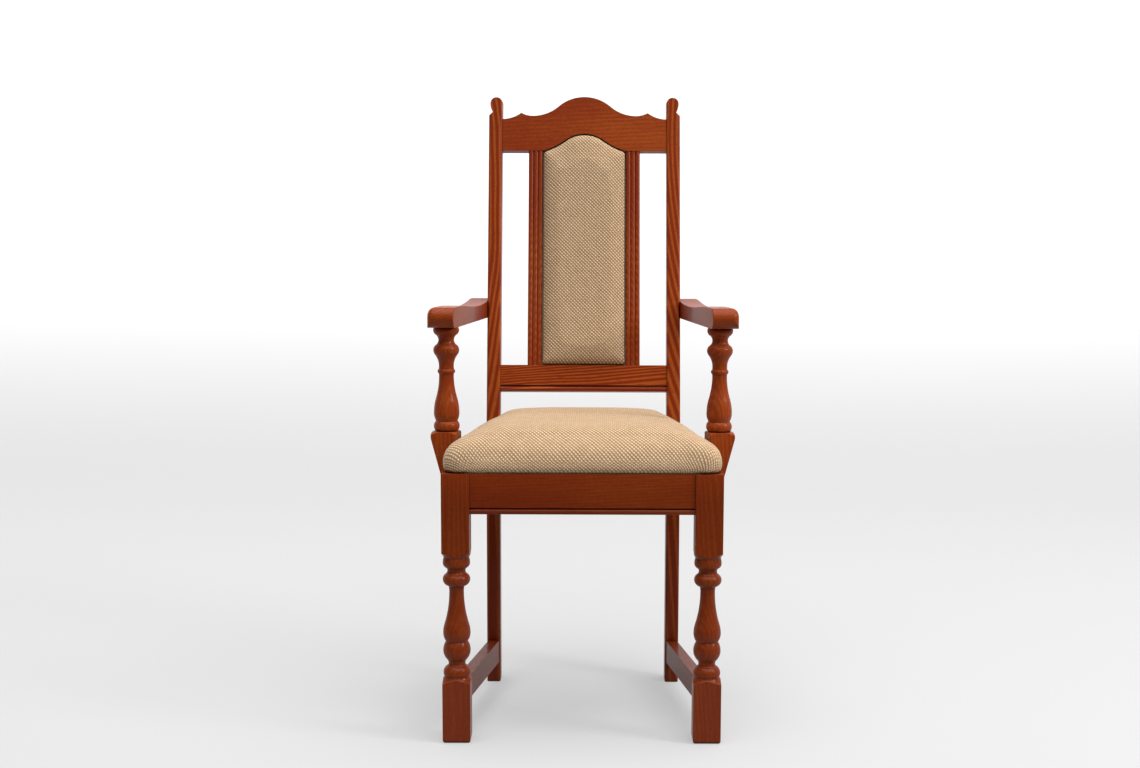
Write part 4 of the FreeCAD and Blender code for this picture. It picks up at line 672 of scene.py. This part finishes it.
# Depth behind the posts' front and inset from the outline of each ring.
PAD_LEVELS = (
    (0.0140, 0.0012), (0.0060, 0.0010), (0.0010, 0.0028), (-0.0025, 0.0070), (-0.0048, 0.0140),
    (-0.0058, 0.0240), (-0.0062, 0.0330),
)
back_pad = skin("back_pad", [pad_ring(*level) for level in PAD_LEVELS])
inflate(back_pad, 0.0040, 3.0, 0.004, lambda p: stand_up(p)[1] > 0.009)
smooth(back_pad)
lay_cloth(back_pad, back_cloth)
back_pad.data.materials.append(basket)
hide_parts("back_panel_cover", "back_panel_foam")
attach(back_pad, "root")
print("back pad", [round(v, 3) for v in back_pad.dimensions])

# %% [markdown]
# ## Linings and their staples
#
# A thin black cloth closes the seat from below, and the outside back wears the same cloth as
# the front. Both are sheets pulled tight, so a grid with a slight belly is enough. The black
# one is held by a row of staples, and a row is what Geometry Nodes do best: the tree walks
# along the cloth's edge and sets down one rounded staple after another.

# %% Stretch a sheet inside an outline
LINING_THICKNESS, LINING_MARGIN = 0.0006, 0.0015


def stretched_sheet(name, rows, lift, material):
    """A thin sheet through rows of points, with lift added towards its middle."""
    count = len(rows[0])
    points = [tuple(p) for row in rows for p in row]
    faces = [(r * count + i, r * count + i + 1, (r + 1) * count + i + 1, (r + 1) * count + i)
             for r in range(len(rows) - 1) for i in range(count - 1)]
    mesh = bpy.data.meshes.new(name)
    mesh.from_pydata(points, [], faces)
    piece = bpy.data.objects.new(name, mesh)
    bpy.context.scene.collection.objects.link(piece)
    spots = places(piece).reshape(len(rows), count, 3)
    belly = np.outer(*(np.sin(np.linspace(0, math.pi, n)) for n in (len(rows), count)))
    spots += belly[:, :, None] * np.array(lift)
    move(piece, spots.reshape(-1, 3))
    thick = piece.modifiers.new("thick", "SOLIDIFY")
    thick.thickness, thick.offset = LINING_THICKNESS, 0
    bake(piece)
    for face in piece.data.polygons:
        face.use_smooth = True
    piece.data.materials.append(material)
    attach(piece, "root")
    return piece


def black_lining():
    """Thin spun cloth: black, dull and faintly flecked."""
    cloth = Finish("black_lining")
    place = cloth.object_place()
    flecks = cloth.noise(place, 900, 3.0, 0.7)
    ripple = cloth.noise(place, 25, 2.0)
    colour = cloth.mix(flecks * 0.7 + ripple * 0.3, (0.006, 0.006, 0.007, 1),
                       (0.030, 0.029, 0.028, 1))
    relief = cloth.node("Bump", None, {"Strength": 0.5, "Distance": 0.0006,
                                       "Height": flecks + ripple * 2})
    return cloth.surface(Base_Color=colour, Roughness=0.80 + flecks * 0.15, Specular_IOR_Level=0.2,
                         Normal=relief)


# %% [markdown]
# A black lining closes the seat from below. It narrows towards the back as the frame does,
# and its corners are cut off to clear the corner blocks.

# %% Close the seat from below
cover_low, cover_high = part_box("seat_dust_cover")
UNDER_HALF_FRONT = cover_high.x - LINING_MARGIN
UNDER_FRONT = cover_low.y + LINING_MARGIN
UNDER_DEPTH = cover_high.y - cover_low.y - 2 * LINING_MARGIN
UNDER_CORNER = 0.036


def under_half(share):
    """Half width of the lining at a share of its depth: narrower to the back, corners cut off."""
    depth = share * UNDER_DEPTH
    half = UNDER_HALF_FRONT - SEAT_SLOPE * depth
    return half - max(UNDER_CORNER - depth, 0, depth - UNDER_DEPTH + UNDER_CORNER)


under_height = (cover_low.z + cover_high.z) / 2
under_rows = [[(x, UNDER_FRONT + share * UNDER_DEPTH, under_height)
               for x in np.linspace(-under_half(share), under_half(share), 25)]
              for share in np.linspace(0, 1, 25)]
seat_lining = stretched_sheet("seat_lining", under_rows, (0, 0, -0.0012), black_lining())
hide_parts("seat_dust_cover")
under_area = sum(2 * under_half(s) for s in np.linspace(0, 1, 200)) * UNDER_DEPTH / 200
print("seat lining", round(under_area, 4), "square metres")

# %% [markdown]
# The outside back is a sheet of the same cloth, stretched over the back board between the
# slats, the lower rail and the arch of the crest.

# %% Cover the outside back
REAR_DEPTH, REAR_INSET, REAR_HEM = 0.0230, 0.0015, 0.0012
rear_low, rear_half = PANEL_LOW + REAR_HEM, PANEL_HALF - REAR_INSET
rear_columns = [[lay_back(x, z, REAR_DEPTH) for z in np.linspace(rear_low, arch(x, REAR_INSET), 49)]
                for x in np.linspace(rear_half, -rear_half, 33)]
outside_back = stretched_sheet("outside_back", rear_columns, (0, 0.0008, 0), basket)
lay_cloth(outside_back, back_cloth)
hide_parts("back_panel_rear_cloth")
talls = [arch(x, REAR_INSET) - rear_low for x in np.linspace(-rear_half, rear_half, 200)]
rear_area = sum(talls) * rear_half / 100
arch(0, REAR_INSET) - rear_low
print("outside back", round(rear_area, 4), "square metres")

# %% [markdown]
# Wire staples hold the lining all round, a little inside its edge. The line that they follow is
# closed, and the node tree gives each one its wire and its steel.

# %% Staple the lining
STAPLE_LENGTH, STAPLE_WIRE, STAPLE_STEP = 0.010, 0.0009, 0.034
STAPLE_INSET, STAPLE_PROUD = 0.007, 0.0001


def staple_tree():
    """Geometry Nodes that lay staples along every edge of the mesh that they are given."""
    tree = bpy.data.node_groups.new("staple_row", "GeometryNodeTree")
    for label, kind in (("Line", "Geometry"), ("Step", "Float"), ("Length", "Float"),
                        ("Wire", "Float"), ("Steel", "Material")):
        tree.interface.new_socket(label, in_out="INPUT", socket_type="NodeSocket" + kind)
    tree.interface.new_socket("Staples", in_out="OUTPUT", socket_type="NodeSocketGeometry")

    def add(kind, settings=None, **links):
        node = tree.nodes.new(kind)
        for key, value in (settings or {}).items():
            setattr(node, key, value)
        for key, value in links.items():
            socket = node.inputs[key.replace("_", " ")]
            if isinstance(value, bpy.types.NodeSocket):
                tree.links.new(value, socket)
            else:
                socket.default_value = value
        return node

    given = add("NodeGroupInput").outputs
    curve = add("GeometryNodeMeshToCurve", None, Mesh=given["Line"]).outputs[0]
    evenly = add("GeometryNodeCurveToPoints", {"mode": "LENGTH"}, Curve=curve, Length=given["Step"])
    half_wire = add("ShaderNodeMath", {"operation": "MULTIPLY"})
    tree.links.new(given["Wire"], half_wire.inputs[0])
    half_wire.inputs[1].default_value = 0.5
    rod = add("GeometryNodeMeshCylinder", {"fill_type": "TRIANGLE_FAN"}, Vertices=10,
              Radius=half_wire.outputs[0], Depth=given["Length"])
    rounded = add("GeometryNodeSetShadeSmooth", None, Geometry=rod.outputs[0], Shade_Smooth=True)
    row = add("GeometryNodeInstanceOnPoints", None, Points=evenly.outputs["Points"],
              Instance=rounded.outputs[0], Rotation=evenly.outputs["Rotation"])
    solid = add("GeometryNodeRealizeInstances", None, Geometry=row.outputs[0])
    dressed = add("GeometryNodeSetMaterial", None, Geometry=solid.outputs[0],
                  Material=given["Steel"])
    tree.links.new(dressed.outputs[0], add("NodeGroupOutput").inputs[0])
    return tree


def staple_row(name, line, values):
    """A plain mesh of staples along a closed line of points."""
    mesh = bpy.data.meshes.new(name)
    count = len(line)
    mesh.from_pydata(line, [(i, (i + 1) % count) for i in range(count)], [])
    piece = bpy.data.objects.new(name, mesh)
    bpy.context.scene.collection.objects.link(piece)
    stapler = piece.modifiers.new("staples", "NODES")
    stapler.node_group = staple_tree()
    for item in stapler.node_group.interface.items_tree:
        if item.name in values:
            stapler[item.identifier] = values[item.name]
    bake(piece)
    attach(piece, "root")
    return piece


staple_height = cover_low.z - STAPLE_PROUD
edge = [(under_half(s) - STAPLE_INSET, UNDER_FRONT + s * UNDER_DEPTH, staple_height)
        for s in np.linspace(0.03, 0.97, 41)]
line = edge + [(-x, y, z) for x, y, z in reversed(edge)]
staples = staple_row("lining_staples", line, {"Step": STAPLE_STEP, "Length": STAPLE_LENGTH,
                                              "Wire": STAPLE_WIRE, "Steel": steel})
print("staples", len(staples.data.polygons), "faces")

# %% [markdown]
# ## The floor and the light
#
# The photograph has a white wall, a pale grey floor and broad light from above, with a little
# more from the right, because the pad's left edge is the darker one. A sun with a very wide
# disc gives even light like a large overhead box. One curved sheet makes floor and wall. It
# glows a little, so that shadows stay faint, and a black cloth lies on it in front of the
# picture, which keeps light from the floor off the chair's front.

# %% Build the studio
FLOOR_GREY, CLOTH_GREY, WALL_WHITE = 0.25, 0.04, 0.66
FLOOR_GLOW, WALL_GLOW = 0.36, 0.50
CLOTH_FROM, CLOTH_TO = -1.15, -0.75
SHEET_FRONT, SHEET_BEND, SHEET_RADIUS = -9.0, 1.9, 1.5
SHEET_TOP, SHEET_HALF = 5.0, 10.0


def grey(level):
    return (level, level, level, 1)


def studio_sheet():
    sheet = bpy.data.meshes.new("studio")
    turn = np.linspace(0, math.pi / 2, 32)
    line = [(SHEET_FRONT, 0.0)]
    line += [(SHEET_BEND + SHEET_RADIUS * math.sin(a), SHEET_RADIUS * (1 - math.cos(a)))
             for a in turn]
    line.append((SHEET_BEND + SHEET_RADIUS, SHEET_TOP))
    points = [(x, y, z) for y, z in line for x in (-SHEET_HALF, SHEET_HALF)]
    faces = [(2 * i, 2 * i + 1, 2 * i + 3, 2 * i + 2) for i in range(len(line) - 1)]
    sheet.from_pydata(points, [], faces)
    for face in sheet.polygons:
        face.use_smooth = True
    paper = Finish("studio_paper")
    depth, height = paper.split(paper.object_place())[1:]
    wall = paper.clamp(height, -0.02, 1.1)
    bare = paper.clamp(depth, CLOTH_FROM, CLOTH_TO)
    floor = paper.mix(bare, grey(CLOTH_GREY), grey(FLOOR_GREY))
    colour = paper.mix(wall, floor, grey(WALL_WHITE))
    floor_glow = paper.mix(bare, grey(0), grey(FLOOR_GLOW))
    glow = paper.mix(wall, floor_glow, grey(WALL_GLOW))
    sheet.materials.append(paper.surface(Base_Color=colour, Roughness=0.95, Specular_IOR_Level=0.0,
                                         Emission_Color=glow, Emission_Strength=1.0))
    piece = bpy.data.objects.new("studio", sheet)
    bpy.context.scene.collection.objects.link(piece)


def hang(name, lamp, place, aim):
    holder = bpy.data.objects.new(name, lamp)
    holder.location = place
    holder.rotation_euler = (Vector(aim) - Vector(place)).to_track_quat("-Z", "Y").to_euler()
    bpy.context.scene.collection.objects.link(holder)


def soft_box(name, place, aim, width, height, watts):
    lamp = bpy.data.lights.new(name, "AREA")
    lamp.shape, lamp.size, lamp.size_y = "RECTANGLE", width, height
    lamp.energy = watts
    hang(name, lamp, place, aim)


def wide_sky(name, place, aim, strength, spread):
    lamp = bpy.data.lights.new(name, "SUN")
    lamp.energy, lamp.angle = strength, math.radians(spread)
    hang(name, lamp, place, aim)


studio_sheet()
wide_sky("overhead", (0.30, -0.60, 3.4), (0, 0, 0.4), 4.6, 75)
soft_box("right_key", (2.5, -1.15, 2.0), (0, 0, 0.95), 0.8, 1.2, 52)
soft_box("left_fill", (-2.2, -2.0, 1.5), (0, 0, 0.6), 0.9, 1.3, 5)

# %% [markdown]
# Lacquer mirrors the room, so the air that it mirrors is kept dark, as with black cloths round
# a product photographer's table. The camera itself sees pale air past the sheet's edges.

# %% Set the air round the studio
sky = bpy.data.worlds.new("studio_air")
bpy.context.scene.world = sky
sky.use_nodes = True
air = sky.node_tree
air.nodes.clear()
seen = air.nodes.new("ShaderNodeLightPath")
pale, dark = air.nodes.new("ShaderNodeBackground"), air.nodes.new("ShaderNodeBackground")
pale.inputs[0].default_value = grey(0.86)
dark.inputs[0].default_value = grey(0.10)
choose = air.nodes.new("ShaderNodeMixShader")
air.links.new(seen.outputs["Is Camera Ray"], choose.inputs[0])
air.links.new(dark.outputs[0], choose.inputs[1])
air.links.new(pale.outputs[0], choose.inputs[2])
air.links.new(choose.outputs[0], air.nodes.new("ShaderNodeOutputWorld").inputs[0])
